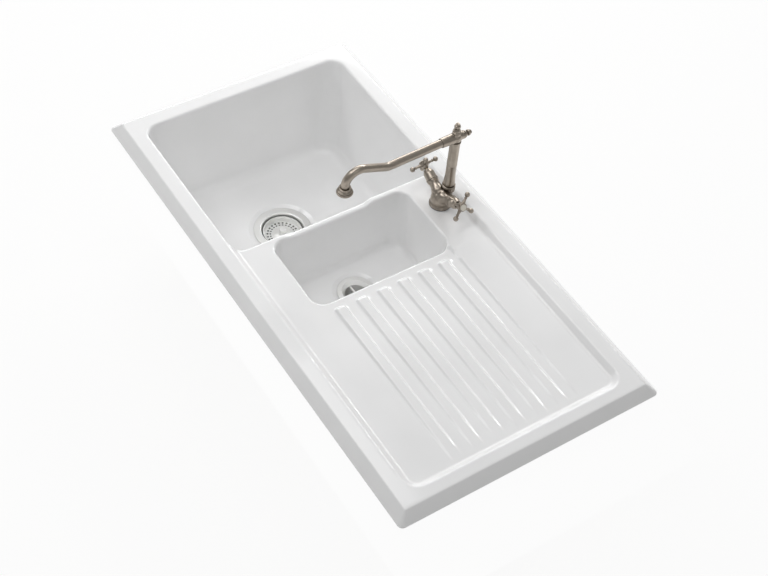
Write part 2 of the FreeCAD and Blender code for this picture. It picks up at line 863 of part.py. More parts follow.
GRID_NUT_TOP = HALF_UNDERSIDE - S.under_seal_thickness


def at_main_waste(body):
    """Put a body on the axis of the main bowl's waste."""
    place(body, MAIN_CENTRE, S.waste_shift, MAIN_SEAT)


def at_half_waste(body):
    """Put a body on the axis of the half bowl's waste."""
    place(body, HALF_CENTRE, S.waste_shift, HALF_SEAT)


def washer(label, inner, outer, low, high):
    """A flat ring."""
    body = new_body(label)
    turned(body, "ring", [(inner, low), (outer, low), (outer, high), (inner, high)])
    return body


def make_strainer_cup():
    """The steel flange and cup of the basket strainer, with four drain slots in its floor."""
    body = new_body("strainer_cup")
    sheet_wall = S.strainer_sheet
    roll = S.strainer_edge_roll
    mouth_roll = S.strainer_mouth_roll
    floor_roll = S.strainer_floor_roll
    outer = S.strainer_radius
    mouth = S.strainer_mouth_radius
    floor = S.strainer_floor_radius
    hub = S.strainer_hub_radius
    hole = S.waste_screw_radius + S.body_clearance
    under = S.seal_thickness
    path = [
        (outer, STRAINER_TOP - roll),
        left_bend(outer - roll, STRAINER_TOP, roll),
        (mouth, STRAINER_TOP),
        left_bend(mouth - mouth_roll, STRAINER_TOP - mouth_roll, mouth_roll),
        (floor, STRAINER_FLOOR + floor_roll),
        right_bend(floor - floor_roll, STRAINER_FLOOR, floor_roll),
        (hub, STRAINER_FLOOR),
        (hub, STRAINER_HUB),
        (hole, STRAINER_HUB),
        (hole, STRAINER_HUB - sheet_wall),
        (hub + sheet_wall, STRAINER_HUB - sheet_wall),
        (hub + sheet_wall, STRAINER_FLOOR - sheet_wall),
        (floor - floor_roll, STRAINER_FLOOR - sheet_wall),
        left_bend(floor + sheet_wall, STRAINER_FLOOR + floor_roll, floor_roll + sheet_wall),
        (mouth - mouth_roll + sheet_wall, STRAINER_TOP - mouth_roll),
        (mouth, under),
        (outer - sheet_wall, under),
        (outer - sheet_wall, STRAINER_TOP - roll),
    ]
    turned(body, "cup", path)
    slot = sketch_on(body, "slot", "XY_Plane", lift=STRAINER_FLOOR)
    inner = S.strainer_slot_inner_radius
    wide = S.strainer_slot_outer_radius
    angle = S.strainer_slot_half_angle
    path = [
        (inner * cosine(angle), -inner * sine(angle)),
        (wide * cosine(angle), -wide * sine(angle)),
        left_bend(wide * cosine(angle), wide * sine(angle), wide),
        (inner * cosine(angle), inner * sine(angle)),
    ]
    trace(slot, path)
    cut = pocketed(body, "slot", slot, sheet_wall + S.cut_overrun)
    repeated(body, "slots", cut, S.strainer_slot_count)
    at_main_waste(body)


def make_waste_seals():
    """The rubber rings above and below the ceramic at the main waste."""
    top = washer(
        "strainer_top_seal", S.strainer_seal_inner_radius, S.strainer_seal_outer_radius,
        as_size(0), S.seal_thickness,
    )
    at_main_waste(top)
    low = MAIN_UNDERSIDE - S.under_seal_thickness
    under = washer(
        "strainer_under_seal", S.strainer_seal_inner_radius, S.waste_collar_radius, low, MAIN_UNDERSIDE
    )
    at_main_waste(under)


def make_waste_body():
    """The moulded chamber below the sink, with its outlet and the spokes that hold the insert."""
    body = new_body("waste_body")
    wall = S.waste_wall
    chamber = S.waste_chamber_radius
    tail = S.waste_tail_radius
    collar_foot = WASTE_TOP - S.waste_collar_height
    chamber_foot = WASTE_TOP - S.waste_chamber_height
    funnel_foot = chamber_foot - S.waste_funnel_height
    outlet = funnel_foot - S.waste_tail_length
    path = [
        (chamber, WASTE_TOP),
        (chamber, chamber_foot),
        (tail - wall, funnel_foot),
        (tail - wall, outlet),
        (tail, outlet),
        (tail, funnel_foot - wall),
        (chamber + wall, chamber_foot - wall),
        (chamber + wall, collar_foot),
        (S.waste_collar_radius, collar_foot),
        (S.waste_collar_radius, WASTE_TOP),
    ]
    turned(body, "shell", path)
    bore = S.insert_radius + S.fixed_clearance
    boss = bore + S.boss_wall
    length = S.insert_length
    post = [(bore, BOSS_TOP - length), (boss, BOSS_TOP - length), (boss, BOSS_TOP), (bore, BOSS_TOP)]
    spoke = sketch_on(body, "spoke", "YZ_Plane", lift=bore + S.boss_wall / 2)
    half = S.waste_spoke_width / 2
    spoke_foot = BOSS_TOP - S.waste_spoke_height
    trace(spoke, rectangle(-half, half, spoke_foot, BOSS_TOP))
    arm = padded(body, "spoke", spoke, chamber - bore)
    repeated(body, "spokes", arm, S.waste_spoke_count)
    turned(body, "boss", post)
    at_main_waste(body)


def make_waste_screw():
    """The hollow screw that draws the cup and the chamber together, and its brass insert."""
    insert = new_body("waste_insert")
    bore = S.waste_screw_radius + S.fixed_clearance
    path = [
        (bore, BOSS_TOP - S.insert_length),
        (S.insert_radius, BOSS_TOP - S.insert_length),
        (S.insert_radius, BOSS_TOP),
        (bore, BOSS_TOP),
    ]
    turned(insert, "sleeve", path)
    at_main_waste(insert)
    screw = new_body("waste_screw")
    head = S.waste_screw_head_radius
    shank = S.waste_screw_radius
    socket = S.stem_radius + S.running_clearance
    foot = BOSS_TOP - S.waste_screw_reach
    path = [
        (0, foot),
        (shank, foot),
        (shank, STRAINER_HUB),
        (head, STRAINER_HUB),
        (head, STRAINER_HUB + S.waste_screw_head_height),
        (socket, STRAINER_HUB + S.waste_screw_head_height),
        (socket, BASKET_FLOOR - S.stem_length),
        (0, BASKET_FLOOR - S.stem_length),
    ]
    turned(screw, "screw", path)
    at_main_waste(screw)


def make_basket():
    """The pressed steel basket, with two rings of holes round a raised middle."""
    body = new_body("basket")
    wall = S.basket_sheet
    rim = S.basket_rim_radius
    shoulder = rim - S.basket_rim_width
    floor = S.basket_floor_radius
    dome = S.basket_dome_radius
    crown = S.basket_dome_top_radius
    hole = S.stem_radius + S.fixed_clearance
    path = [
        (rim, BASKET_TOP - wall),
        (rim, BASKET_TOP),
        (shoulder, BASKET_TOP),
        (floor, BASKET_FLOOR),
        (dome, BASKET_FLOOR),
        (crown, DOME_TOP),
        (hole, DOME_TOP),
        (hole, DOME_TOP - wall),
        (crown, DOME_TOP - wall),
        (dome, BASKET_FLOOR - wall),
        (floor + wall, BASKET_FLOOR - wall),
        (shoulder + wall, BASKET_TOP - wall),
    ]
    turned(body, "pan", path)
    rings = (
        ("outer", S.basket_outer_ring_radius, S.basket_outer_hole_radius),
        ("inner", S.basket_inner_ring_radius, S.basket_inner_hole_radius),
    )
    for name, place_radius, hole_radius in rings:
        sketch = sketch_on(body, f"{name}_hole", "XY_Plane", lift=BASKET_FLOOR)
        ring(sketch, place_radius, 0, hole_radius)
        cut = pocketed(body, f"{name}_hole", sketch, wall + S.cut_overrun)
        repeated(body, f"{name}_holes", cut, S.basket_hole_count)
    at_main_waste(body)


def make_basket_fittings():
    """The knob, stem, rubber and nut that lift out with the basket."""
    knob = new_body("basket_knob")
    roll = S.knob_edge_roll
    top = DOME_TOP + S.knob_height
    path = [
        (0, DOME_TOP),
        (S.knob_foot_radius, DOME_TOP),
        (S.knob_foot_radius, DOME_TOP + S.knob_foot_height),
        (S.knob_waist_radius, DOME_TOP + S.knob_waist_height),
        (S.knob_head_radius, DOME_TOP + S.knob_head_start),
        (S.knob_head_radius, top - roll),
        left_bend(S.knob_head_radius - roll, top, roll),
        (0, top),
    ]
    turned(knob, "knob", path)
    at_main_waste(knob)
    stem = new_body("basket_stem")
    foot = BASKET_FLOOR - S.stem_length + S.body_clearance
    path = [(0, foot), (S.stem_radius, foot), (S.stem_radius, DOME_TOP), (0, DOME_TOP)]
    turned(stem, "stem", path)
    at_main_waste(stem)
    seal = new_body("basket_seal")
    bore = S.stem_radius + S.fixed_clearance
    under = BASKET_FLOOR - S.basket_sheet
    lip = SEAL_FOOT + S.basket_seal_lip
    path = [
        (bore, SEAL_FOOT),
        (S.basket_seal_radius, SEAL_FOOT),
        (S.basket_seal_radius, lip),
        (S.basket_dome_radius, lip),
        (S.basket_dome_radius, under),
        (S.basket_seal_hub_radius, under),
        (S.basket_dome_top_radius, under + S.basket_dome_height / 2),
        (bore, under + S.basket_dome_height / 2),
    ]
    turned(seal, "seal", path)
    at_main_waste(seal)
    nut = new_body("basket_stem_nut")
    sketch = sketch_on(nut, "nut", "XY_Plane", lift=SEAL_FOOT - S.stem_nut_height)
    trace(sketch, hexagon(S.stem_nut_flats))
    ring(sketch, 0, 0, bore)
    padded(nut, "nut", sketch, S.stem_nut_height)
    at_main_waste(nut)


def make_grid_waste():
    """The half bowl's waste: flange, cross grid and threaded tail in one piece."""
    body = new_body("grid_waste")
    outer = S.grid_flange_radius
    roll = S.grid_flange_roll
    bore = S.grid_bore_radius
    tail = S.waste_tail_radius
    thread = S.grid_thread_radius
    throat = GRID_TOP - S.grid_cone_depth
    under = S.grid_seal_thickness
    thread_end = GRID_NUT_TOP - S.back_nut_height - S.grid_thread_spare
    path = [
        (outer, under),
        (outer, GRID_TOP - roll),
        left_bend(outer - roll, GRID_TOP, roll),
        (S.grid_cone_mouth_radius, GRID_TOP),
        (bore, throat),
        (bore, -S.grid_tail_length),
        (tail, -S.grid_tail_length),
        (tail, thread_end),
        (thread, thread_end),
        (thread, throat),
        (S.grid_shoulder_radius, throat),
        (S.grid_shoulder_radius, under),
    ]
    turned(body, "tail", path)
    top = throat - S.grid_bar_drop
    sketch = sketch_on(body, "bars", "XY_Plane", lift=top)
    reach = (bore + tail) / 2
    half = S.grid_bar_width / 2
    trace(sketch, rectangle(as_size(0), reach, -half, half))
    bar = padded(body, "bar", sketch, S.grid_bar_thickness, down=True)
    repeated(body, "bars", bar, S.grid_bar_count)
    hub = sketch_on(body, "grid_hub", "XY_Plane", lift=top)
    ring(hub, 0, 0, S.grid_hub_radius)
    padded(body, "grid_hub", hub, S.grid_bar_thickness, down=True)
    at_half_waste(body)


def make_grid_fittings():
    """The seals and the back nut that clamp the half bowl's waste."""
    top = washer(
        "grid_top_seal", S.grid_seal_inner_radius, S.grid_flange_radius - S.grid_flange_roll,
        as_size(0), S.grid_seal_thickness,
    )
    at_half_waste(top)
    under = washer(
        "grid_under_seal", S.under_seal_inner_radius, S.grid_flange_radius, GRID_NUT_TOP, HALF_UNDERSIDE
    )
    at_half_waste(under)
    nut = new_body("grid_back_nut")
    sketch = sketch_on(nut, "nut", "XY_Plane", lift=GRID_NUT_TOP - S.back_nut_height)
    trace(sketch, hexagon(S.back_nut_flats))
    ring(sketch, 0, 0, S.grid_thread_radius + S.fixed_clearance)
    padded(nut, "nut", sketch, S.back_nut_height)
    at_half_waste(nut)


def at_tap(body):
    """Put a body on the tap's foot, level with the deck."""
    place(body, S.tap_place, TAP_BACK, DECK)


def at_post(body):
    """Put a body on the axis of the tap's post, level with the deck."""
    place(body, S.tap_place, TAP_BACK + S.post_setback, DECK)


def make_tap_body():
    """The tap's casting: a bulb on a foot, two branches for the valves and a riser for the post."""
    body = new_body("tap_body")
    low = S.tap_seal_thickness
    bulb = S.bulb_radius
    waist = S.tap_waist_radius
    foot_top = low + S.tap_foot_height
    path = [
        (0, low),
        (S.tap_foot_radius, low),
        (S.tap_foot_radius, foot_top),
        right_bend(waist, S.tap_waist_height, S.tap_waist_height),
        left_bend(bulb, S.bulb_height, bulb),
        left_bend(bulb / 2, S.bulb_top - S.tap_foot_height / 2, bulb),
        (0, S.bulb_top),
    ]
    turned(body, "bulb", path)
    lean = as_size(QUARTER_TURN) - S.valve_rise
    path = [
        (0, 0),
        (S.branch_root_radius, 0),
        (S.branch_root_radius, S.branch_root_length),
        right_bend(S.branch_neck_radius, S.branch_neck_length, S.branch_length),
        (S.branch_seat_radius, S.branch_length - S.branch_rim),
        (S.branch_seat_radius, S.branch_length),
        (0, S.branch_length),
    ]
    branch = turned(body, "branch", path, turn=lean, slide=S.branch_start)
    mirrored(body, "other_branch", [branch])
    room = S.collar_radius + S.body_clearance
    low = S.collar_start - S.body_clearance
    high = S.branch_start + S.branch_length
    path = [(0, low), (room, low), (room, high), (0, high)]
    bored(body, "collar_room", path, lift=-S.post_setback)
    path = [
        (0, S.riser_foot),
        (S.riser_radius, S.riser_foot),
        (S.riser_radius, S.riser_height),
        (S.socket_radius, S.collar_start),
        (S.socket_radius, S.socket_height),
        (0, S.socket_height),
    ]
    turned(body, "riser", path, lift=-S.post_setback)
    bore = S.cartridge_radius + S.fixed_clearance
    over = S.cut_overrun
    path = [
        (0, S.branch_length - S.cartridge_depth),
        (bore, S.branch_length - S.cartridge_depth),
        (bore, S.branch_length + over),
        (0, S.branch_length + over),
    ]
    seat = bored(body, "valve_bore", path, turn=lean, slide=S.branch_start)
    mirrored(body, "other_valve_bore", [seat])
    path = [
        (0, S.socket_floor),
        (S.socket_bore_radius, S.socket_floor),
        (S.socket_bore_radius, S.socket_height + over),
        (0, S.socket_height + over),
    ]
    bored(body, "socket", path, lift=-S.post_setback)
    across = S.inlet_spacing / 2 + S.inlet_radius + S.inlet_recess_margin
    along = S.inlet_radius + S.inlet_recess_margin
    recess = sketch_on(body, "inlet_recess", "XY_Plane", lift=S.tap_seal_thickness)
    front = -S.inlet_forward - along
    trace(recess, rounded_rectangle(-across, across, front, along - S.inlet_forward, S.inlet_radius))
    pocketed(body, "inlet_recess", recess, S.inlet_recess_depth, up=True)
    inlets = sketch_on(body, "inlets", "XY_Plane", lift=S.tap_seal_thickness + S.inlet_recess_depth)
    for side in (-1, 1):
        ring(inlets, S.inlet_spacing * side / 2, -S.inlet_forward, S.inlet_radius)
    pocketed(body, "inlets", inlets, S.inlet_depth, up=True)
    stud = sketch_on(body, "stud_hole", "XY_Plane", lift=S.tap_seal_thickness)
    ring(stud, 0, S.stud_back, S.stud_radius + S.fixed_clearance)
    pocketed(body, "stud_hole", stud, S.stud_hold, up=True)
    at_tap(body)


def make_tap_fixing():
    """What holds the tap down: seal, stud, rubber pad, horseshoe plate and nut."""
    seal = washer(
        "tap_base_seal", S.tap_seal_inner_radius, S.tap_seal_radius, as_size(0), S.tap_seal_thickness
    )
    at_tap(seal)
    stud = new_body("tap_stud")
    top = S.tap_seal_thickness + S.stud_hold - S.body_clearance
    sketch = sketch_on(stud, "stud", "XY_Plane", lift=top)
    ring(sketch, 0, S.stud_back, S.stud_radius)
    padded(stud, "stud", sketch, S.stud_length, down=True)
    at_tap(stud)
    under = -S.deck_thickness
    plates = (
        ("tap_clamp_pad", under, S.clamp_pad_thickness),
        ("tap_clamp_plate", under - S.clamp_pad_thickness, S.clamp_plate_thickness),
    )
    half = S.clamp_slot_width / 2
    for label, level, thickness in plates:
        body = new_body(label)
        disc = sketch_on(body, "disc", "XY_Plane", lift=level)
        ring(disc, 0, 0, S.clamp_radius)
        ring(disc, 0, S.stud_back, S.stud_radius + S.body_clearance)
        padded(body, "disc", disc, thickness, down=True)
        slot = sketch_on(body, "slot", "XY_Plane", lift=level)
        trace(slot, rectangle(-half, half, -S.clamp_radius - S.cut_overrun, S.clamp_slot_end))
        pocketed(body, "slot", slot, thickness)
        at_tap(body)
    nut = new_body("tap_fixing_nut")
    level = under - S.clamp_pad_thickness - S.clamp_plate_thickness
    sketch = sketch_on(nut, "nut", "XY_Plane", lift=level)
    trace(sketch, hexagon(S.fixing_nut_flats))
    ring(sketch, 0, 0, S.stud_radius + S.fixed_clearance)
    padded(nut, "nut", sketch, S.fixing_nut_height, down=True)
    place(nut, S.tap_place, TAP_BACK + S.stud_back, DECK)


def at_valve(body, side, twist=None):
    """Put a body on a valve's axis: side is -1 for the left valve and 1 for the right."""
    lean = as_size(QUARTER_TURN) - S.valve_rise
    along = S.tap_place + sine(lean) * S.branch_length * side
    up = DECK + S.branch_start + cosine(lean) * S.branch_length
    place(body, along, TAP_BACK, up, tilt=lean * side, twist=twist)


def make_cartridge(name, side):
    """A valve's headwork, screwed into its branch."""
    body = new_body(f"{name}_cartridge")
    bore = S.spindle_radius + S.running_clearance
    path = [
        (0, -S.cartridge_depth + S.body_clearance),
        (S.cartridge_radius, -S.cartridge_depth + S.body_clearance),
        (S.cartridge_radius, 0),
        (S.cartridge_flange_radius, 0),
        (S.cartridge_flange_radius, S.cartridge_flange_height),
        (S.cartridge_neck_radius, S.cartridge_flange_height),
        (S.cartridge_neck_radius, S.cartridge_height),
        (bore, S.cartridge_height),
        (bore, -S.spindle_depth),
        (0, -S.spindle_depth),
    ]
    turned(body, "headwork", path)
    flats = sketch_on(body, "flats", "XY_Plane", lift=S.cartridge_flange_height)
    trace(flats, hexagon(S.cartridge_flats))
    ring(flats, 0, 0, S.cartridge_neck_radius)
    padded(body, "flats", flats, S.cartridge_flats_height)
    at_valve(body, side)


def make_spindle(name, side):
    """A valve's spindle, which the cross handle turns."""
    body = new_body(f"{name}_spindle")
    bore = S.handle_screw_radius + S.fixed_clearance
    top = S.spindle_top
    low = top - S.handle_screw_length
    path = [
        (0, -S.spindle_depth + S.running_clearance),
        (S.spindle_radius, -S.spindle_depth + S.running_clearance),
        (S.spindle_radius, top),
        (bore, top),
        (bore, low),
        (0, low),
    ]
    turned(body, "spindle", path)
    at_valve(body, side)


def make_bonnet(name, side):
    """The smooth cover over a valve's headwork."""
    body = new_body(f"{name}_bonnet")
    wall = S.bonnet_wall
    base = S.fixed_clearance
    shoulder = S.bonnet_shoulder_height
    drop = S.bonnet_height - shoulder
    path = [
        (S.bonnet_radius, base),
        (S.bonnet_shoulder_radius, shoulder),
        left_bend(S.bonnet_neck_radius, S.bonnet_height, drop + wall),
        (S.bonnet_mouth_radius, S.bonnet_height),
        (S.bonnet_mouth_radius, S.bonnet_height - wall),
        (S.bonnet_neck_radius - wall, S.bonnet_height - wall),
        right_bend(S.bonnet_shoulder_radius - wall, shoulder, drop + wall),
        (S.bonnet_radius - wall, base),
    ]
    turned(body, "cover", path)
    at_valve(body, side)


def make_handle(name, side, twist):
    """A cross handle: a hub with four tapered arms that end in balls, shut at its own twist."""
    body = new_body(f"{name}_handle")
    start = S.bonnet_height + S.handle_gap
    top = start + S.handle_hub_length
    bore = S.spindle_radius + S.fixed_clearance
    screw = S.handle_screw_radius + S.fixed_clearance
    head = S.handle_screw_head_radius + S.fixed_clearance
    button = S.button_radius + S.fixed_clearance
    web_top = S.spindle_top + S.handle_web
    path = [
        (bore, start),
        (S.handle_foot_radius, start),
        right_bend(S.handle_hub_radius, start + S.handle_waist_height, S.handle_hub_radius),
        (S.handle_hub_radius, top),
        (button, top),
        (button, top - S.button_sink),
        (head, top - S.button_sink),
        (head, web_top),
        (screw, web_top),
        (screw, S.spindle_top),
        (bore, S.spindle_top),
    ]
    turned(body, "hub", path)
    level = start + S.handle_arm_height
    reach = S.handle_arm_reach
    ball = S.handle_ball_radius
    root = (S.handle_hub_radius + head) / 2
    path = [
        (0, root),
        (S.handle_arm_root_radius, root),
        (S.handle_arm_tip_radius, reach),
        (0, reach),
    ]
    arm = turned(body, "arm", path, lift=level, role="XY_Plane")
    repeated(body, "arms", arm, S.handle_arm_count)
    tip = turned(body, "ball", ball_outline(reach, ball), lift=level, role="XY_Plane")
    repeated(body, "balls", tip, S.handle_arm_count)
    at_valve(body, side, twist)


def make_handle_trim(name, side):
    """The screw that holds a handle, and the button that covers it."""
    top = S.bonnet_height + S.handle_gap + S.handle_hub_length
    web_top = S.spindle_top + S.handle_web
    screw = new_body(f"{name}_handle_screw")
    foot = S.spindle_top - S.handle_screw_length + S.body_clearance
    path = [
        (0, foot),
        (S.handle_screw_radius, foot),
        (S.handle_screw_radius, web_top),
        (S.handle_screw_head_radius, web_top),
        (S.handle_screw_head_radius, web_top + S.handle_screw_head_height),
        (0, web_top + S.handle_screw_head_height),
    ]
    turned(screw, "screw", path)
    at_valve(screw, side)
    button = new_body(f"{name}_index_button")
    radius = S.button_radius
    low = top - S.button_sink
    roll = S.button_edge_roll
    high = low + S.button_height
    path = [(0, low), (radius, low), (radius, high - roll), left_bend(radius - roll, high, roll), (0, high)]
    turned(button, "button", path)
    at_valve(button, side)


def make_post_collar():
    """The nut that keeps the post in its socket and lets it turn."""
    body = new_body("post_collar")
    bore = S.socket_radius + S.fixed_clearance
    chamber = S.retainer_radius + S.body_clearance
    lip = S.neck_radius + S.body_clearance
    groove = S.collar_groove
    outer = S.collar_radius
    top = S.collar_top
    path = [
        (bore, S.collar_start + groove),
        (outer, S.collar_start + groove),
        (outer, S.socket_height),
        (outer - groove, S.socket_height + groove),
        (outer, S.socket_height + groove * 2),
        (outer, top - groove),
        (outer - groove, top),
        (lip, top),
        (lip, S.collar_chamber_top),
        (chamber, S.collar_chamber_top),
        (chamber, S.socket_height),
        (bore, S.socket_height),
    ]
    turned(body, "nut", path)
    at_post(body)


# The bottom of the grooves that hold the spigot's two seal rings
SEAL_GROOVE = S.spigot_radius - S.seal_ring_width - S.fixed_clearance


def make_post():
    """The tap's post, from the spigot in its socket up to the hub."""
    body = new_body("post")
    step = S.collar_top + S.body_clearance
    groove = SEAL_GROOVE
    half = S.seal_ring_height / 2 + S.fixed_clearance
    path = [(0, S.spigot_foot), (S.spigot_radius, S.spigot_foot)]
    for number in range(2):
        level = S.seal_lower_height + S.seal_pitch * number
        path.append((S.spigot_radius, level - half))
        path.append((groove, level - half))
        path.append((groove, level + half))
        path.append((S.spigot_radius, level + half))
    bead = S.post_bead_height + step
    width = S.post_bead_width / 2
    swell = step + S.post_swell_height
    waist = step + S.post_waist_height
    path += [
        (S.spigot_radius, S.socket_height + S.body_clearance),
        (S.neck_radius, S.socket_height + S.body_clearance),
        (S.neck_radius, step),
        (S.post_foot_radius, step),
        left_bend(S.post_swell_radius, swell, S.post_waist_height),
        (S.post_waist_radius, waist),
        (S.post_waist_radius, bead - width),
        left_bend(S.post_waist_radius, bead + width, width * 2),
        (S.post_waist_radius, POST_TOP),
        (0, POST_TOP),
    ]
    turned(body, "post", path)
    at_post(body)


def make_post_rings():
    """The two rubber rings on the spigot, and the split ring the collar bears on."""
    inner = SEAL_GROOVE + S.fixed_clearance
    for number, name in enumerate(("lower", "upper")):
        middle = S.seal_lower_height + S.seal_pitch * number
        low = middle - S.seal_ring_height / 2
        seal = washer(f"{name}_seal_ring", inner, S.spigot_radius, low, low + S.seal_ring_height)
        at_post(seal)
    low = S.socket_height + S.body_clearance
    inner = S.neck_radius + S.fixed_clearance
    slip = washer("post_slip_ring", inner, S.retainer_radius, low, low + S.retainer_height)
    at_post(slip)


def make_spout_hub():
    """The ball that joins the post, the spout and the two finials."""
    body = new_body("spout_hub")
    ball = S.hub_ball_radius
    middle = S.hub_height
    path = [
        (0, POST_TOP),
        (S.hub_collar_radius, POST_TOP),
        (S.hub_collar_radius, POST_TOP + S.hub_collar_height),
        (S.hub_stub_radius, POST_TOP + S.hub_collar_height),
        (S.hub_stub_radius, middle + S.hub_top_stub),
        (0, middle + S.hub_top_stub),
    ]
    turned(body, "upright", path)
    turned(body, "ball", ball_outline(middle, ball))
    path = [
        (0, -S.hub_joint_length),
        (S.hub_joint_tip_radius, -S.hub_joint_length),
        (S.hub_joint_root_radius, 0),
        (S.hub_stub_radius, 0),
        (S.hub_stub_radius, S.hub_rear_stub),
        (0, S.hub_rear_stub),
    ]
    turned(body, "arm", path, lift=middle, role="XY_Plane")
    bore = sketch_on(body, "joint_bore", "XZ_Plane", lift=S.hub_joint_length)
    ring(bore, 0, middle, S.spout_radius + S.fixed_clearance)
    pocketed(body, "joint_bore", bore, S.hub_joint_length - S.hub_joint_bore)
    at_post(body)


def spout_route():
    """The spout's centre line beside the post: out, up at the kink, over and down."""
    middle = S.hub_height
    drop = S.spout_drop_angle
    rise = S.spout_rise_angle
    bend = S.spout_kink_radius
    joint_run = bend * tangent(drop / 2)
    joint_y = -S.hub_joint_length - joint_run
    kink_y = -S.spout_kink_reach
    kink_z = middle - tangent(drop) * (S.spout_kink_reach + joint_y)
    kink_run = bend * tangent((drop + rise) / 2)
    end_y = -S.spout_reach
    top_z = kink_z + tangent(rise) * (S.spout_reach - S.spout_kink_reach)
    crook = S.spout_crook_radius
    crook_run = crook * tangent((as_size(QUARTER_TURN) + rise) / 2)
    outlet = SPOUT_OUTLET + S.bell_socket_height + S.body_clearance
    return [
        (-S.hub_joint_bore - S.body_clearance, middle),
        (joint_y + joint_run, middle),
        left_bend(joint_y - joint_run * cosine(drop), middle - joint_run * sine(drop), bend),
        (kink_y + kink_run * cosine(drop), kink_z + kink_run * sine(drop)),
        right_bend(kink_y - kink_run * cosine(rise), kink_z + kink_run * sine(rise), bend),
        (end_y + crook_run * cosine(rise), top_z - crook_run * sine(rise)),
        left_bend(end_y, top_z - crook_run, crook),
        (end_y, outlet),
    ]


def make_spout_tube():
    """The bent tube of the spout, swept along its centre line."""
    body = new_body("spout_tube")
    spine = sketch_on(body, "spine", "YZ_Plane")
    trace(spine, spout_route(), closed=False)
    section = sketch_on(body, "section", "XZ_Plane", lift=S.hub_joint_bore + S.body_clearance)
    ring(section, 0, S.hub_height, S.spout_radius)
    ring(section, 0, S.hub_height, S.spout_radius - S.spout_wall)
    pipe = body.newObject("PartDesign::AdditivePipe", "spout_tube_pipe")
    pipe.Profile = section
    pipe.Spine = spine
    at_post(body)


def at_outlet(body):
    """Put a body on the spout's outlet, its lowest edge."""
    place(body, S.tap_place, TAP_BACK + S.post_setback - S.spout_reach, DECK + SPOUT_OUTLET)


def make_outlet():
    """The bell at the end of the spout, and the aerator and washer inside it."""
    bell = new_body("outlet_bell")
    tube = S.spout_radius + S.fixed_clearance
    aerator = S.aerator_radius + S.fixed_clearance
    collar_foot = S.bell_height - S.bell_collar_height
    low = S.bell_shelf_height
    high = low + S.aerator_height
    top = high + S.aerator_washer_height
    lip = S.bell_lip
    path = [
        (S.bell_mouth_radius, 0),
        (S.bell_radius - lip, 0),
        left_bend(S.bell_radius, lip, lip),
        left_bend(S.bell_radius - lip, lip * 2, lip),
        right_bend(S.bell_neck_radius, S.bell_socket_height, S.bell_flare_radius),
        (S.bell_neck_radius, collar_foot),
        (S.bell_collar_radius, collar_foot),
        (S.bell_collar_radius, S.bell_height),
        (tube, S.bell_height),
        (tube, S.bell_socket_height),
        (S.aerator_washer_radius, S.bell_socket_height),
        (S.aerator_washer_radius, top),
        (aerator, top),
        (aerator, low),
    ]
    turned(bell, "bell", path)
    at_outlet(bell)
    insert = new_body("aerator_insert")
    rim = S.aerator_radius - S.aerator_rib
    path = [
        (0, low + S.aerator_rib),
        (rim, low + S.aerator_rib),
        (rim, low),
        (S.aerator_radius, low),
        (S.aerator_radius, high),
        (0, high),
    ]
    turned(insert, "insert", path)
    at_outlet(insert)
    seal = washer("aerator_washer", S.aerator_washer_radius, S.aerator_radius, high, top)
    at_outlet(seal)


def finial_outline(length):
    """Half the outline of an acorn finial: foot, neck, bulb, fine neck and tip."""
    foot = length * FINIAL_FOOT_SHARE
    neck = length * FINIAL_NECK_SHARE
    bulb_start = length * FINIAL_BULB_START_SHARE
    bulb_end = length * FINIAL_BULB_END_SHARE
    tip_neck = length * FINIAL_TIP_NECK_SHARE
    tip = S.finial_tip_radius
    middle = (bulb_start + bulb_end) / 2
    bend = S.finial_bulb_bend
    return [
        (0, 0),
        (S.finial_foot_radius, 0),
        (S.finial_foot_radius, foot),
        (S.finial_neck_radius, neck),
        (S.finial_neck_radius, bulb_start),
        left_bend(S.finial_bulb_radius, middle, bend),
        left_bend(S.finial_neck_radius, bulb_end, bend),
        (S.finial_tip_neck_radius, tip_neck),
        (tip, length - tip),
        left_bend(0, length, tip),
    ]


def make_finials():
    """The finial on top of the hub and the shorter one behind it."""
    top = new_body("top_finial")
    turned(top, "finial", finial_outline(S.finial_length))
    place(top, S.tap_place, TAP_BACK + S.post_setback, DECK + S.hub_height + S.hub_top_stub)
    rear = new_body("rear_finial")
    turned(rear, "finial", finial_outline(S.rear_finial_length), role="XY_Plane")
    back = TAP_BACK + S.post_setback + S.hub_rear_stub
    place(rear, S.tap_place, back, DECK + S.hub_height)


def make_valves():
    """Both valves with their handles."""
    for name, side, twist in (("left", -1, S.left_handle_twist), ("right", 1, S.right_handle_twist)):
        make_cartridge(name, side)
        make_spindle(name, side)
        make_bonnet(name, side)
        make_handle(name, side, twist)
        make_handle_trim(name, side)


make_basin()
make_strainer_cup()
make_waste_seals()
make_waste_body()
make_waste_screw()
make_basket()
make_basket_fittings()
make_grid_waste()
make_grid_fittings()
make_tap_body()
make_tap_fixing()
make_valves()
make_post_collar()
make_post()
make_post_rings()
make_spout_hub()
make_spout_tube()
make_outlet()
make_finials()


def finish():
    """Check every object and write each piece to its own file."""
    doc.recompute()
    faults = [item.Label for item in doc.Objects if "Invalid" in item.State or "Error" in item.State]
    faults += [body.Label for body in finished if body.Shape.isNull() or not body.Shape.isValid()]
    if faults:
        raise RuntimeError("not built: " + ", ".join(faults))
    os.makedirs("parts", exist_ok=True)
    for body in finished:
        body.Shape.exportStep(os.path.join("parts", body.Label + ".step"))
        print(body.Label, len(body.Shape.Solids), round(body.Shape.Volume / 1000.0, 2), "cm3")


finish()
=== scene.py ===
import json
import logging
import math
from dataclasses import dataclass, field
from enum import Enum

import bpy
import numpy as np
from bpy.types import Material, Node, NodeTree, Object
from mathutils import Matrix, Vector
from mathutils.geometry import delaunay_2d_cdt


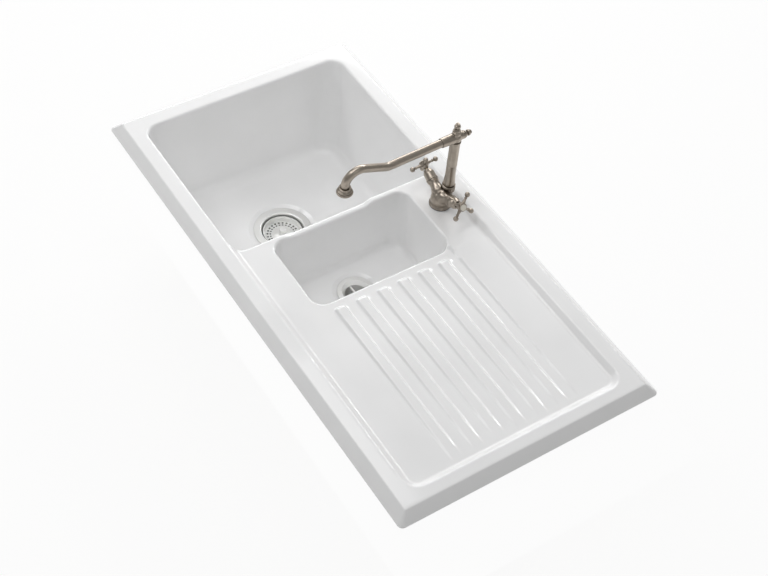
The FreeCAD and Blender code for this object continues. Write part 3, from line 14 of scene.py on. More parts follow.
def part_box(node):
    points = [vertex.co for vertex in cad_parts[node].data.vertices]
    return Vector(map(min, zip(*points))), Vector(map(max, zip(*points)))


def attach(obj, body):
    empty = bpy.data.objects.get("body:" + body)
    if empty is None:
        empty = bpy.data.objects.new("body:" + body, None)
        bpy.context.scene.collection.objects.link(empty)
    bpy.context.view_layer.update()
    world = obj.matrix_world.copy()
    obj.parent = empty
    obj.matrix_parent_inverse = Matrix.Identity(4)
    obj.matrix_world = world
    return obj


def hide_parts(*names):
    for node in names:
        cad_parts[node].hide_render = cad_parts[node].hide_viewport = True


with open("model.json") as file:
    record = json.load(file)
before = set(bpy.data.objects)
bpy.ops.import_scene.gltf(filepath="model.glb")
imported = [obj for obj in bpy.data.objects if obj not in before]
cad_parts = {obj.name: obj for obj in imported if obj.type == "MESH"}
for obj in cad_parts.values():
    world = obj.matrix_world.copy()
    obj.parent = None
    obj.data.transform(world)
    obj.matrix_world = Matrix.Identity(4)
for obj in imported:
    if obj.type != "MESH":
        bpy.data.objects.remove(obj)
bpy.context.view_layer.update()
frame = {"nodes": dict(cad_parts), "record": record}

# An inset fireclay sink with a main bowl, a half bowl, a ribbed drainer, two wastes and a
# two-handle mixer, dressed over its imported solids. Sizes in the classes are in millimetres;
# meshes are in metres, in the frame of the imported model: +X to the drainer, +Y to the rear, +Z up.

LOG = logging.getLogger("sink")
MM = 0.001
QUARTER = math.pi / 2
Array = np.ndarray
# one number, or one for each point
Numbers = np.ndarray | float


# Small helpers


def to_linear(code: str) -> tuple[float, float, float, float]:
    """Turn an sRGB hex colour into linear light.

    Args:
        code: Six hex digits, as in "F4F4F2".

    Returns:
        Red, green, blue and an alpha of 1.
    """
    shares = [int(code[start:start + 2], 16) / 255.0 for start in (0, 2, 4)]
    return *(s / 12.92 if s <= 0.04045 else ((s + 0.055) / 1.055) ** 2.4 for s in shares), 1.0


def ease(value: Array, low: float, high: float) -> Array:
    """Rise smoothly from 0 at low to 1 at high: 3t squared less 2t cubed."""
    t = np.clip((value - low) / (high - low), 0.0, 1.0)
    return t * t * (3.0 - 2.0 * t)


def turns(count: int) -> Array:
    """Evenly spaced angles round a full turn."""
    return np.linspace(0.0, 2.0 * math.pi, count, endpoint=False)


def about_axis(radius: Numbers, angles: Array, height: Numbers) -> Array:
    """Points about the upright axis: radius times cosine, radius times sine, height."""
    x, y = radius * np.cos(angles), radius * np.sin(angles)
    return np.stack([x, y, height + 0.0 * x], -1)


def at_height(ring: Array, height: Numbers) -> Array:
    """Lift points of x and y to one height, or each to its own."""
    return np.column_stack([ring, np.broadcast_to(height, len(ring))])


def rounded_line(corners: list[tuple[float, ...]], steps: int) -> Array:
    """Round the inner corners of a line of straight runs.

    A corner with a radius is swapped for an arc that touches both runs at radius / tan(half
    the corner's angle) from it; the arc's points lie on the circle about the centre on the
    bisector.

    Args:
        corners: The line's points, such as (inset, height) or (radius, height), each with
            its rounding's radius as a third number where it has one.
        steps: Points on each arc.

    Returns:
        The points of the rounded line, one a row.
    """
    spots = [np.array(corner[:2], float) for corner in corners]
    points = [spots[0]]
    for before, here, after, corner in zip(spots, spots[1:], spots[2:], corners[1:]):
        to_first, to_last = before - here, after - here
        to_first /= np.linalg.norm(to_first)
        to_last /= np.linalg.norm(to_last)
        half = math.acos(float(np.clip(to_first @ to_last, -1.0, 1.0))) / 2
        if len(corner) < 3 or half > QUARTER - 1e-3:
            points.append(here)
            continue
        bisector = to_first + to_last
        centre = here + bisector / np.linalg.norm(bisector) * corner[2] / math.sin(half)
        begin = here + to_first * corner[2] / math.tan(half) - centre
        end = here + to_last * corner[2] / math.tan(half) - centre
        turn = math.atan2(begin[0] * end[1] - begin[1] * end[0], float(begin @ end))
        angles = np.linspace(0.0, turn, steps)
        cosines, sines = np.cos(angles), np.sin(angles)
        points.extend(centre + np.stack([begin[0] * cosines - begin[1] * sines,
                                         begin[0] * sines + begin[1] * cosines], 1))
    points.append(spots[-1])
    return np.array(points)


def grid_faces(rows: int, columns: int) -> Array:
    """Four-sided faces between neighbouring rows of a grid of points, each row a closed ring.

    Args:
        rows: Number of rows.
        columns: Points in a row.

    Returns:
        Faces, four point numbers a row, wound so that a row that runs anticlockwise seen from
        outside with later rows to its left faces outwards.
    """
    across = np.arange(columns)
    down = np.arange(rows - 1)[:, None] * columns
    following = (across + 1) % columns
    quads = [down + across, down + following, down + columns + following, down + columns + across]
    return np.stack(quads, -1).reshape(-1, 4)


def net(rings: list[Array], loose: list[Array]) -> tuple[Array, Array]:
    """Join closed rings and loose points in a plane by a constrained Delaunay net.

    Args:
        rings: Rings of points whose edges stay.
        loose: Blocks of further points.

    Returns:
        Points, and three-sided faces over all the ground inside the outermost points.
    """
    edges, start = [], 0
    for ring in rings:
        numbers = np.arange(len(ring)) + start
        edges += np.stack([numbers, np.roll(numbers, -1)], -1).tolist()
        start += len(ring)
    places = [Vector(place) for place in np.vstack(rings + loose).tolist()]
    points, _, faces, *_ = delaunay_2d_cdt(places, edges, [], 0, 1e-5)
    return np.array([tuple(p) for p in points]), np.array([f for f in faces if len(f) == 3])


def add_object(name: str, data: bpy.types.ID) -> Object:
    """Put a new object of some data in the scene."""
    made = bpy.data.objects.new(name, data)
    bpy.context.scene.collection.objects.link(made)
    return made


@dataclass
class Shell:
    """Points and faces gathered for one mesh, in millimetres."""

    points: list[Array] = field(default_factory=list)
    faces: list[Array] = field(default_factory=list)
    marks: list[Array] = field(default_factory=list)
    count: int = 0

    def add(self, points: Array, faces: Array, mark: float = 0.0) -> "Shell":
        """Add a surface.

        Args:
            points: Its points.
            faces: Its faces, numbered from the first of the points.
            mark: What each of the points carries.

        Returns:
            The shell itself.
        """
        self.points.append(points.reshape(-1, 3))
        self.faces.append(faces + self.count)
        self.marks.append(np.full(len(self.points[-1]), mark))
        self.count += len(self.points[-1])
        return self

    def add_grid(self, grid: Array, mark: float = 0.0) -> "Shell":
        """Add closed rings of points shaped rings, points, 3."""
        return self.add(grid, grid_faces(*grid.shape[:2]), mark)

    def join(self, other: "Shell", matrix: Matrix | None = None) -> "Shell":
        """Add another shell's surfaces.

        Args:
            other: The other shell.
            matrix: What moves it, with its lengths in millimetres.

        Returns:
            The shell itself.
        """
        turn = np.array(matrix.to_3x3()) if matrix else np.eye(3)
        shift = np.array(matrix.translation) if matrix else np.zeros(3)
        self.points += [block @ turn.T + shift for block in other.points]
        self.faces += [block + self.count for block in other.faces]
        self.marks += other.marks
        self.count += other.count
        return self

    def build(self, name: str, sharp: float = 40.0, weld: float = 0.004,
              marked: str = "") -> Object:
        """Weld the points and make one smooth object.

        Args:
            name: The object's name.
            sharp: Angle in degrees past which an edge stays sharp.
            weld: Points nearer than about this, in millimetres, become one.
            marked: The attribute that takes the points' marks, if any.

        Returns:
            The object, at the origin, in metres.
        """
        points = np.vstack(self.points)
        keys = np.round(points / weld).astype(np.int64)
        _, first, numbers = np.unique(keys, axis=0, return_index=True, return_inverse=True)
        numbers = numbers.reshape(-1)
        polygons: list[list[int]] = []
        for block in self.faces:
            for face in numbers[block].tolist():
                kept = [v for place, v in enumerate(face) if v != face[place - 1]]
                if len(set(kept)) == len(kept) > 2:
                    polygons.append(kept)
        mesh = bpy.data.meshes.new(name)
        mesh.from_pydata((points[first] * MM).tolist(), [], polygons)
        if marked:
            values = np.zeros(len(first))
            np.maximum.at(values, numbers, np.concatenate(self.marks))
            marks = mesh.attributes.new(marked, "FLOAT", "POINT")
            marks.data.foreach_set("value", values.astype(np.float32))
        mesh.validate()
        mesh.polygons.foreach_set("use_smooth", np.ones(len(mesh.polygons), bool))
        mesh.set_sharp_from_angle(angle=math.radians(sharp))
        return add_object(name, mesh)


def lathe(profile: Array, segments: int = 96, waves: int = 0, flutes: Numbers = 0.0) -> Shell:
    """Turn a profile about the upright axis.

    A point's radius is its profile's, less its flute depth times half of one plus the cosine
    of waves times its angle.

    Args:
        profile: (radius, height) points in millimetres, anticlockwise in that plane: up the
            outside, inwards over the top and down the inside or to the axis.
        segments: Steps round the axis.
        waves: Flutes round the axis.
        flutes: Each point's flute depth.

    Returns:
        The shell.
    """
    angles = turns(segments)
    depth = np.reshape(flutes, (-1, 1)) * (0.5 + 0.5 * np.cos(waves * angles))
    return Shell().add_grid(about_axis(profile[:, :1] - depth, angles, profile[:, 1:]))


def sweep(path: Array, outer: float, inner: float, segments: int = 56) -> Shell:
    """A tube along a path in the plane through Y and Z.

    A ring's points are the path's point plus the radius times (cosine along X, sine along the
    path's normal); the normal is the tangent crossed with X. The rings run along the outside
    and back along the bore.

    Args:
        path: Points, y and z a row, in millimetres.
        outer: The tube's outer radius.
        inner: Its bore's radius.
        segments: Steps round the tube.

    Returns:
        The closed shell of the tube.
    """
    ahead = np.gradient(path, axis=0)
    ahead /= np.linalg.norm(ahead, axis=1)[:, None]
    normal = np.stack([np.zeros(len(path)), ahead[:, 1], -ahead[:, 0]], -1)
    centre = np.column_stack([np.zeros(len(path)), path])
    angles = turns(segments)[:, None]
    reach = np.cos(angles) * [1.0, 0.0, 0.0] + normal[:, None] * np.sin(angles)
    outside, bore = (centre[:, None] + radius * reach for radius in (outer, inner))
    return Shell().add_grid(np.concatenate([outside, bore[::-1], outside[:1]]))


def thread(radius: float, low: float, high: float, pitch: float, depth: float,
           bore: float = 0.0, segments: int = 40) -> Shell:
    """A screw thread about the upright axis.

    The outer radius is the crest's, less the depth times the distance from the nearest crest
    along the helix, where height over pitch less angle over a full turn is a whole number; it
    fades out over one pitch at each end.

    Args:
        radius: The crest's radius in millimetres.
        low: Where the thread begins.
        high: Where it ends.
        pitch: From crest to crest.
        depth: From crest to root.
        bore: Radius of the hole along it, 0 for a solid rod.
        segments: Steps round the axis.

    Returns:
        The closed shell of the threaded rod or sleeve.
    """
    rows_a_pitch = 6
    height = np.linspace(low, high, int((high - low) / pitch * rows_a_pitch) + 2)
    angles = turns(segments)
    phase = height[:, None] / pitch - angles[None] / (2.0 * math.pi)
    away = 1.0 - 2.0 * np.abs(phase - np.floor(phase) - 0.5)
    fade = ease(height, low, low + pitch) * ease(-height, -high, pitch - high)
    # crests and roots are flattened, the slopes between them straight
    crest = radius - depth * (1.0 - fade[:, None] * (1.0 - np.clip(1.6 * away - 0.3, 0.0, 1.0)))
    outside = about_axis(crest, angles, height[:, None])
    ends = [about_axis(bore, angles, level)[None] for level in (high, low)]
    return Shell().add_grid(np.concatenate([outside, *ends, outside[:1]]))


def melt(made: Object, cell_mm: float, rounds: int) -> Object:
    """Blend a piece's joints as a casting's are: an even voxel mesh over it, smoothed and kept.

    Args:
        made: The piece, of one closed surface or of several that overlap.
        cell_mm: The mesh's cell.
        rounds: Rounds of smoothing.

    Returns:
        The piece with its new mesh.
    """
    remesh = made.modifiers.new("even_mesh", "REMESH")
    remesh.mode = "VOXEL"
    remesh.voxel_size = cell_mm * MM
    remesh.use_smooth_shade = True
    smooth = made.modifiers.new("cast_blend", "SMOOTH")
    smooth.factor = 0.5
    smooth.iterations = rounds
    depsgraph = bpy.context.evaluated_depsgraph_get()
    baked = bpy.data.meshes.new_from_object(made.evaluated_get(depsgraph))
    made.modifiers.clear()
    made.data = baked
    return made


# Finishes


class Finish(Enum):
    """The finishes of the sink and its fittings, each with its slot in the record."""

    GLAZE = "glaze"
    NICKEL = "tap_metal"
    BRASS = "valve_metal"
    WASTE_STEEL = "waste_steel"
    FIXING_STEEL = "fixing_steel"
    WASTE_PLASTIC = "waste_plastic"
    SLIP_PLASTIC = "slip_plastic"
    RUBBER = "seal_rubber"
    ENAMEL = "button_enamel"


def add_node(tree: NodeTree, kind: str, settings: dict | None = None,
             links: dict | None = None) -> Node:
    """Add a node with its settings and the links into it.

    Args:
        tree: The node tree.
        kind: Blender's name of the node type after "ShaderNode".
        settings: Attributes, socket values where the key is a socket's name or number, or
            a colour ramp's stops, each its place and its hex colour.
        links: Socket name or number to the output socket that feeds it, or to a node whose
            first output does.

    Returns:
        The node.
    """
    node = tree.nodes.new("ShaderNode" + kind)
    for key, value in (settings or {}).items():
        if key == "stops":
            for element, (place, code) in zip(node.color_ramp.elements, value):
                element.position, element.color = place, to_linear(code)
        elif isinstance(key, str) and hasattr(node, key):
            setattr(node, key, value)
        else:
            node.inputs[key].default_value = value
    for key, feed in (links or {}).items():
        output = feed.outputs[0] if isinstance(feed, Node) else feed
        tree.links.new(output, node.inputs[key])
    return node


def grain(tree: NodeTree, place: bpy.types.NodeSocket | Node, size_mm: float, detail: float,
          strength: float, depth_mm: float) -> tuple[Node, Node]:
    """A noise of a grain's size, and the relief that it gives a surface.

    Args:
        tree: The node tree.
        place: What gives the noise its place.
        size_mm: The grain's width.
        detail: How many finer rounds the noise has.
        strength: How much of the relief shows.
        depth_mm: The relief's depth.

    Returns:
        The noise and the bump.
    """
    noise = add_node(tree, "TexNoise", {"Scale": 1.0 / MM / size_mm, "Detail": detail},
                     {"Vector": place})
    return noise, add_node(tree, "Bump", {"Strength": strength, "Distance": depth_mm * MM},
                           {"Height": noise})


@dataclass(frozen=True)
class Recipe:
    """What all finishes share: a name, and a material made round the surface of each."""

    name: str

    def surface(self, tree: NodeTree) -> Node:
        """Add the surface's nodes, and give the last of them."""
        raise NotImplementedError

    def build(self) -> Material:
        """Make the material.

        Returns:
            The material.
        """
        material = bpy.data.materials.new(self.name)
        material.use_nodes = True
        tree = material.node_tree
        tree.nodes.clear()
        add_node(tree, "OutputMaterial", links={"Surface": self.surface(tree)})
        return material


@dataclass(frozen=True)
class FireclayGlaze(Recipe):
    """Fireclay with a fired white gloss glaze: a soft white body under a hard clear skin that
    mirrors lamps as thin lines on every rounded edge, and that waves very slightly. Its
    underside is left bare: matt clay, a little yellow, with a fine grit."""

    name: str = "glazed_fireclay"
    white: str = "F8F8F8"
    shade: str = "F5F5F5"
    clay: str = "D9D4C8"
    clay_shade: str = "CFC9BB"
    roughness: float = 0.09
    # fired glaze pools in clouds of this width
    cloud_mm: float = 120.0
    wave_mm: float = 34.0
    wave_depth_mm: float = 0.012
    grit_mm: float = 2.0
    grit_depth_mm: float = 0.15

    def surface(self, tree: NodeTree) -> Node:
        """Add the glaze: faint cloudiness, a slow wave in the skin, and bare clay beneath."""
        place = add_node(tree, "TexCoord").outputs["Object"]
        cloud = add_node(tree, "TexNoise", {"Scale": 1.0 / MM / self.cloud_mm, "Detail": 2.0},
                         {"Vector": place})
        skin = grain(tree, place, self.wave_mm, 1.0, 0.25, self.wave_depth_mm)[1]
        grit, rough = grain(tree, place, self.grit_mm, 3.0, 0.5, self.grit_depth_mm)
        white = add_node(tree, "ValToRGB", {"stops": ((0.35, self.shade), (0.65, self.white))},
                         {"Fac": cloud})
        bare = add_node(tree, "ValToRGB", {"stops": ((0.3, self.clay_shade), (0.7, self.clay))},
                        {"Fac": grit})
        glaze = add_node(tree, "BsdfPrincipled", {"Roughness": self.roughness, "IOR": 1.52},
                         {"Base Color": white, "Normal": skin})
        clay = add_node(tree, "BsdfPrincipled", {"Roughness": 0.75, "IOR": 1.5},
                        {"Base Color": bare, "Normal": rough})
        below = add_node(tree, "Attribute", {"attribute_name": "bare_clay"})
        return add_node(tree, "MixShader", links={0: below.outputs["Fac"], 1: glaze, 2: clay})


@dataclass(frozen=True)
class SatinMetal(Recipe):
    """A metal surface with fine marks of its making: cast and brushed, turned or pressed. The
    marks spread its highlights, and painted shade from ambient occlusion darkens its hollows;
    below a waste's strainer, painted shade darkens its inside."""

    light: str
    # the colour where the patina clouds and the painted shade in hollows are darkest
    dark: str
    roughness: float
    mark_mm: float = 0.5
    stretch: tuple[float, float, float] = (1.0, 1.0, 1.0)
    bump_mm: float = 0.01
    patina_mm: float = 18.0
    patina: float = 0.35
    # how far the ambient occlusion reaches for the painted shade in hollows
    shade_reach_mm: float = 6.0
    # the colour of the painted shade deep inside a waste, below its strainer
    deep_shade: str = "4E4D4A"

    def surface(self, tree: NodeTree) -> Node:
        """Add the metal: patina clouds and painted shade in its colour, fine marks in roughness and
        relief.
        """
        place = add_node(tree, "TexCoord").outputs["Object"]
        aimed = add_node(tree, "Mapping", {"Scale": self.stretch}, {"Vector": place})
        marks, bump = grain(tree, aimed, self.mark_mm, 4.0, 0.4, self.bump_mm)
        patina = add_node(tree, "TexNoise", {"Scale": 1.0 / MM / self.patina_mm, "Detail": 3.0,
                                             "Roughness": 0.6}, {"Vector": place})
        # painted shade: ambient occlusion darkens the colour in hollows and creases
        painted_hollow_shade = add_node(tree, "AmbientOcclusion", {"Distance": self.shade_reach_mm * MM, "samples": 4})
        tone = add_node(tree, "Math", {"operation": "MULTIPLY_ADD", 1: self.patina,
                                       2: 1.0 - self.patina}, {0: patina})
        shaded = add_node(tree, "Math", {"operation": "MULTIPLY"},
                          {0: tone, 1: painted_hollow_shade.outputs["AO"]})
        # from the light colour to the dark one as the patina and the painted shade darken it
        polished = add_node(tree, "ValToRGB", {"stops": ((0.25, self.dark), (0.85, self.light))},
                            {"Fac": shaded})
        # inside a waste, below its strainer, painted shade darkens the colour deep in the hole
        inside = add_node(tree, "Attribute", {"attribute_name": "deep_shade_share"})
        colour = add_node(tree, "Mix", {"data_type": "RGBA", 7: to_linear(self.deep_shade)},
                          {0: inside.outputs["Fac"], 6: polished}).outputs[2]
        spread = add_node(tree, "MapRange", {"To Min": self.roughness - 0.05,
                                             "To Max": self.roughness + 0.08}, {"Value": marks})
        return add_node(tree, "BsdfPrincipled", {"Metallic": 1.0},
                        {"Base Color": colour, "Roughness": spread, "Normal": bump})


@dataclass(frozen=True)
class Moulded(Recipe):
    """Rubber, plastic or fired enamel: one body colour, faintly clouded, with a fine skin."""

    light: str
    dark: str
    roughness: float
    ior: float = 1.5
    grain_mm: float = 0.6
    grain_depth_mm: float = 0.02
    cloud_mm: float = 25.0

    def surface(self, tree: NodeTree) -> Node:
        """Add the moulded surface: cloudy colour and a fine grain in the skin."""
        place = add_node(tree, "TexCoord").outputs["Object"]
        cloud = add_node(tree, "TexNoise", {"Scale": 1.0 / MM / self.cloud_mm, "Detail": 3.0},
                         {"Vector": place})
        bump = grain(tree, place, self.grain_mm, 2.0, 0.5, self.grain_depth_mm)[1]
        colour = add_node(tree, "ValToRGB", {"stops": ((0.3, self.dark), (0.7, self.light))},
                          {"Fac": cloud})
        return add_node(tree, "BsdfPrincipled", {"Roughness": self.roughness, "IOR": self.ior},
                        {"Base Color": colour, "Normal": bump})


@dataclass(frozen=True)
class StageWhite(Recipe):
    """The stage's matt board, which the camera, mirrors and glass see as plain white."""

    board: str = "F2F2F0"
    # how much of the camera's view of it is plain white
    whiteness: float = 0.92

    def surface(self, tree: NodeTree) -> Node:
        """Add the board: white light for the rays that see it, a matt tone for the others."""
        path = add_node(tree, "LightPath")
        seen = path.outputs["Is Camera Ray"]
        for ray in ("Is Glossy Ray", "Is Transmission Ray"):
            seen = add_node(tree, "Math", {"operation": "ADD", "use_clamp": True},
                            {0: seen, 1: path.outputs[ray]}).outputs[0]
        share = add_node(tree, "Math", {"operation": "MULTIPLY", 1: self.whiteness}, {0: seen})
        matt = add_node(tree, "BsdfDiffuse", {"Color": to_linear(self.board)})
        return add_node(tree, "MixShader", links={0: share, 1: matt, 2: add_node(tree, "Emission")})


RECIPES = {
    # fired white gloss glaze on fireclay
    Finish.GLAZE: FireclayGlaze(),
    # cast brass plated in satin nickel: warm grey, soft wide highlights, painted shade darkening the
    # hollows
    Finish.NICKEL: SatinMetal("brushed_nickel_plate", "AEA498", "5A524A", 0.29, 0.45,
                              (1.0, 1.0, 0.25), 0.006),
    # turned brass, unplated: fine rings from the tool
    Finish.BRASS: SatinMetal("turned_brass", "B4A68C", "786B56", 0.28, 0.3, (0.3, 0.3, 3.0)),
    # pressed and polished stainless steel: pale, with blurred highlights and little patina
    Finish.WASTE_STEEL: SatinMetal("pressed_stainless_steel", "F8F8F6", "DCDCDA", 0.46, 0.35,
                                   (1.0, 1.0, 0.3), 0.004, patina=0.12),
    # zinc-plated steel, dull and bluish
    Finish.FIXING_STEEL: SatinMetal("zinc_plated_steel", "B9BDC0", "84888B", 0.38, 0.6),
    # injection-moulded polypropylene, white
    Finish.WASTE_PLASTIC: Moulded("moulded_white_polypropylene", "EDEDEA", "E2E2DE", 0.42, 1.49),
    # turned acetal, off-white, slippery
    Finish.SLIP_PLASTIC: Moulded("turned_acetal", "E6E2D4", "D8D3C2", 0.35, 1.48),
    # moulded nitrile rubber, near black, matt
    Finish.RUBBER: Moulded("moulded_nitrile_rubber", "242426", "19191B", 0.7, 1.52, 0.4, 0.03),
    # fired cream enamel on the index buttons
    Finish.ENAMEL: Moulded("fired_cream_enamel", "ECE7DB", "E2DCCD", 0.12, 1.52),
}


class Palette:
    """The finished materials, made once each, and the CAD nodes that pieces stand for."""

    def __init__(self) -> None:
        """Make no material yet."""
        self._made: dict[Finish, Material] = {}
        self.dressed: set[str] = set()

    def dress(self, piece: Object, finish: Finish, body: str, *nodes: str) -> None:
        """Give a piece its material, its body and the CAD nodes that it stands for.

        Args:
            piece: The new object.
            finish: Its finish.
            body: The CAD body that it rides on.
            nodes: The CAD nodes that it replaces.
        """
        if finish not in self._made:
            self._made[finish] = RECIPES[finish].build()
        piece.data.materials.clear()
        piece.data.materials.append(self._made[finish])
        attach(piece, body)
        if nodes:
            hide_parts(*nodes)
            self.dressed.update(nodes)
        LOG.info("%s: %d faces, rides on %s", piece.name, len(piece.data.polygons), body)


# The ceramic


@dataclass(frozen=True)
class Outline:
    """A rounded rectangle seen from above, in millimetres."""

    left: float
    right: float
    front: float
    rear: float
    radius: float

    def ring(self, inset: Numbers, radius: Numbers, side: int = 72, corner: int = 20) -> Array:
        """Points round the outline, drawn in by an inset, anticlockwise from the right-hand side.

        Each corner is a quarter circle about the point one radius inside both sides; the sides
        are straight runs between the quarters.

        Args:
            inset: How far in from the sides, one number or one for each point.
            radius: The corner radius there, likewise.
            side: Points on each side.
            corner: Points on each corner.

        Returns:
            Points, x and y a row, 4 * (side + corner) of them.
        """
        count = 4 * (side + corner)
        inset = np.broadcast_to(np.asarray(inset, float), (count,))
        radius = np.maximum(np.broadcast_to(np.asarray(radius, float), (count,)), 0.0)
        quarter = np.repeat(np.arange(4), side + corner)
        step = np.tile(np.append(np.zeros(side), np.linspace(0.0, 1.0, corner + 1)[:-1]), 4)
        along = np.tile(np.append(np.linspace(0.0, 1.0, side + 1)[:-1], np.ones(corner)), 4)
        low_x, high_x = self.left + inset + radius, self.right - inset - radius
        low_y, high_y = self.front + inset + radius, self.rear - inset - radius
        # a side's straight run goes from the last corner's centre to the next one's
        centre = []
        for places in ([high_x, high_x, low_x, low_x], [low_y, high_y, high_y, low_y]):
            first, last = (np.choose(quarter, ends) for ends in (places, places[1:] + places[:1]))
            centre.append(first + (last - first) * along)
        angle = (quarter + step) * QUARTER
        return np.stack(centre, -1) + about_axis(radius, angle, 0.0)[:, :2]

    def depth(self, x: Array, y: Array) -> Array:
        """How far points are inside the outline, negative outside: the rounded rectangle's
        signed distance, from how far they are past the inner rectangle of corner centres.

        Args:
            x: Places along the sink in millimetres.
            y: Places across it.

        Returns:
            Distances in millimetres.
        """
        half_x, half_y = (self.right - self.left) / 2, (self.rear - self.front) / 2
        over_x = np.abs(x - (self.left + self.right) / 2) - half_x + self.radius
        over_y = np.abs(y - (self.front + self.rear) / 2) - half_y + self.radius
        outside = np.hypot(np.maximum(over_x, 0.0), np.maximum(over_y, 0.0))
        return self.radius - outside - np.minimum(np.maximum(over_x, over_y), 0.0)


@dataclass(frozen=True)
class BowlShape:
    """One bowl: where it is, how it narrows, and its waste seat."""

    mouth: Outline
    mouth_height: float
    floor: float
    draft: float
    floor_radius: float
    floor_sweep: float
    drain: tuple[float, float]
    dish: float
    seat: float
    seat_depth: float
    hole: float
    lip: float
    back_reach: tuple[float, float]
    wall: float = 13.0

    def ring_at(self, height: Numbers, draft: float = 1.0, back: float = 0.0) -> Array:
        """The wall's ring at a height.

        The wall draws in by its draft, and its corner radius goes from the mouth's to the
        floor's, in step with the share of the way down.

        Args:
            height: The height in millimetres, one number or one for each point.
            draft: The part of the draft that counts there.
            back: How far a rounding draws the ring in.

        Returns:
            Points, x, y and height a row.
        """
        share = (self.mouth_height - height) / (self.mouth_height - self.floor)
        radius = self.mouth.radius + (self.floor_radius - self.mouth.radius) * share
        return at_height(self.mouth.ring(self.draft * share * draft + back, radius - back), height)

    def back_ring(self, height: float, back: float = 0.0) -> Array:
        """The bowl's outside at a height below the pan.

        It stands one wall outside the mouth at height 0, draws in by the draft to the bottom,
        and stops at back_reach where the other bowl's wall passes.

        Args:
            height: The height in millimetres.
            back: How far a rolled edge draws it in.

        Returns:
            Points, x, y and height a row.
        """
        share = height / (self.floor - self.wall)
        radius = self.mouth.radius + self.wall + (self.floor_radius - self.mouth.radius) * share
        ring = self.mouth.ring(self.draft * share - self.wall + back, radius - back)
        ring[:, 0] = np.clip(ring[:, 0], *self.back_reach)
        return at_height(ring, height)


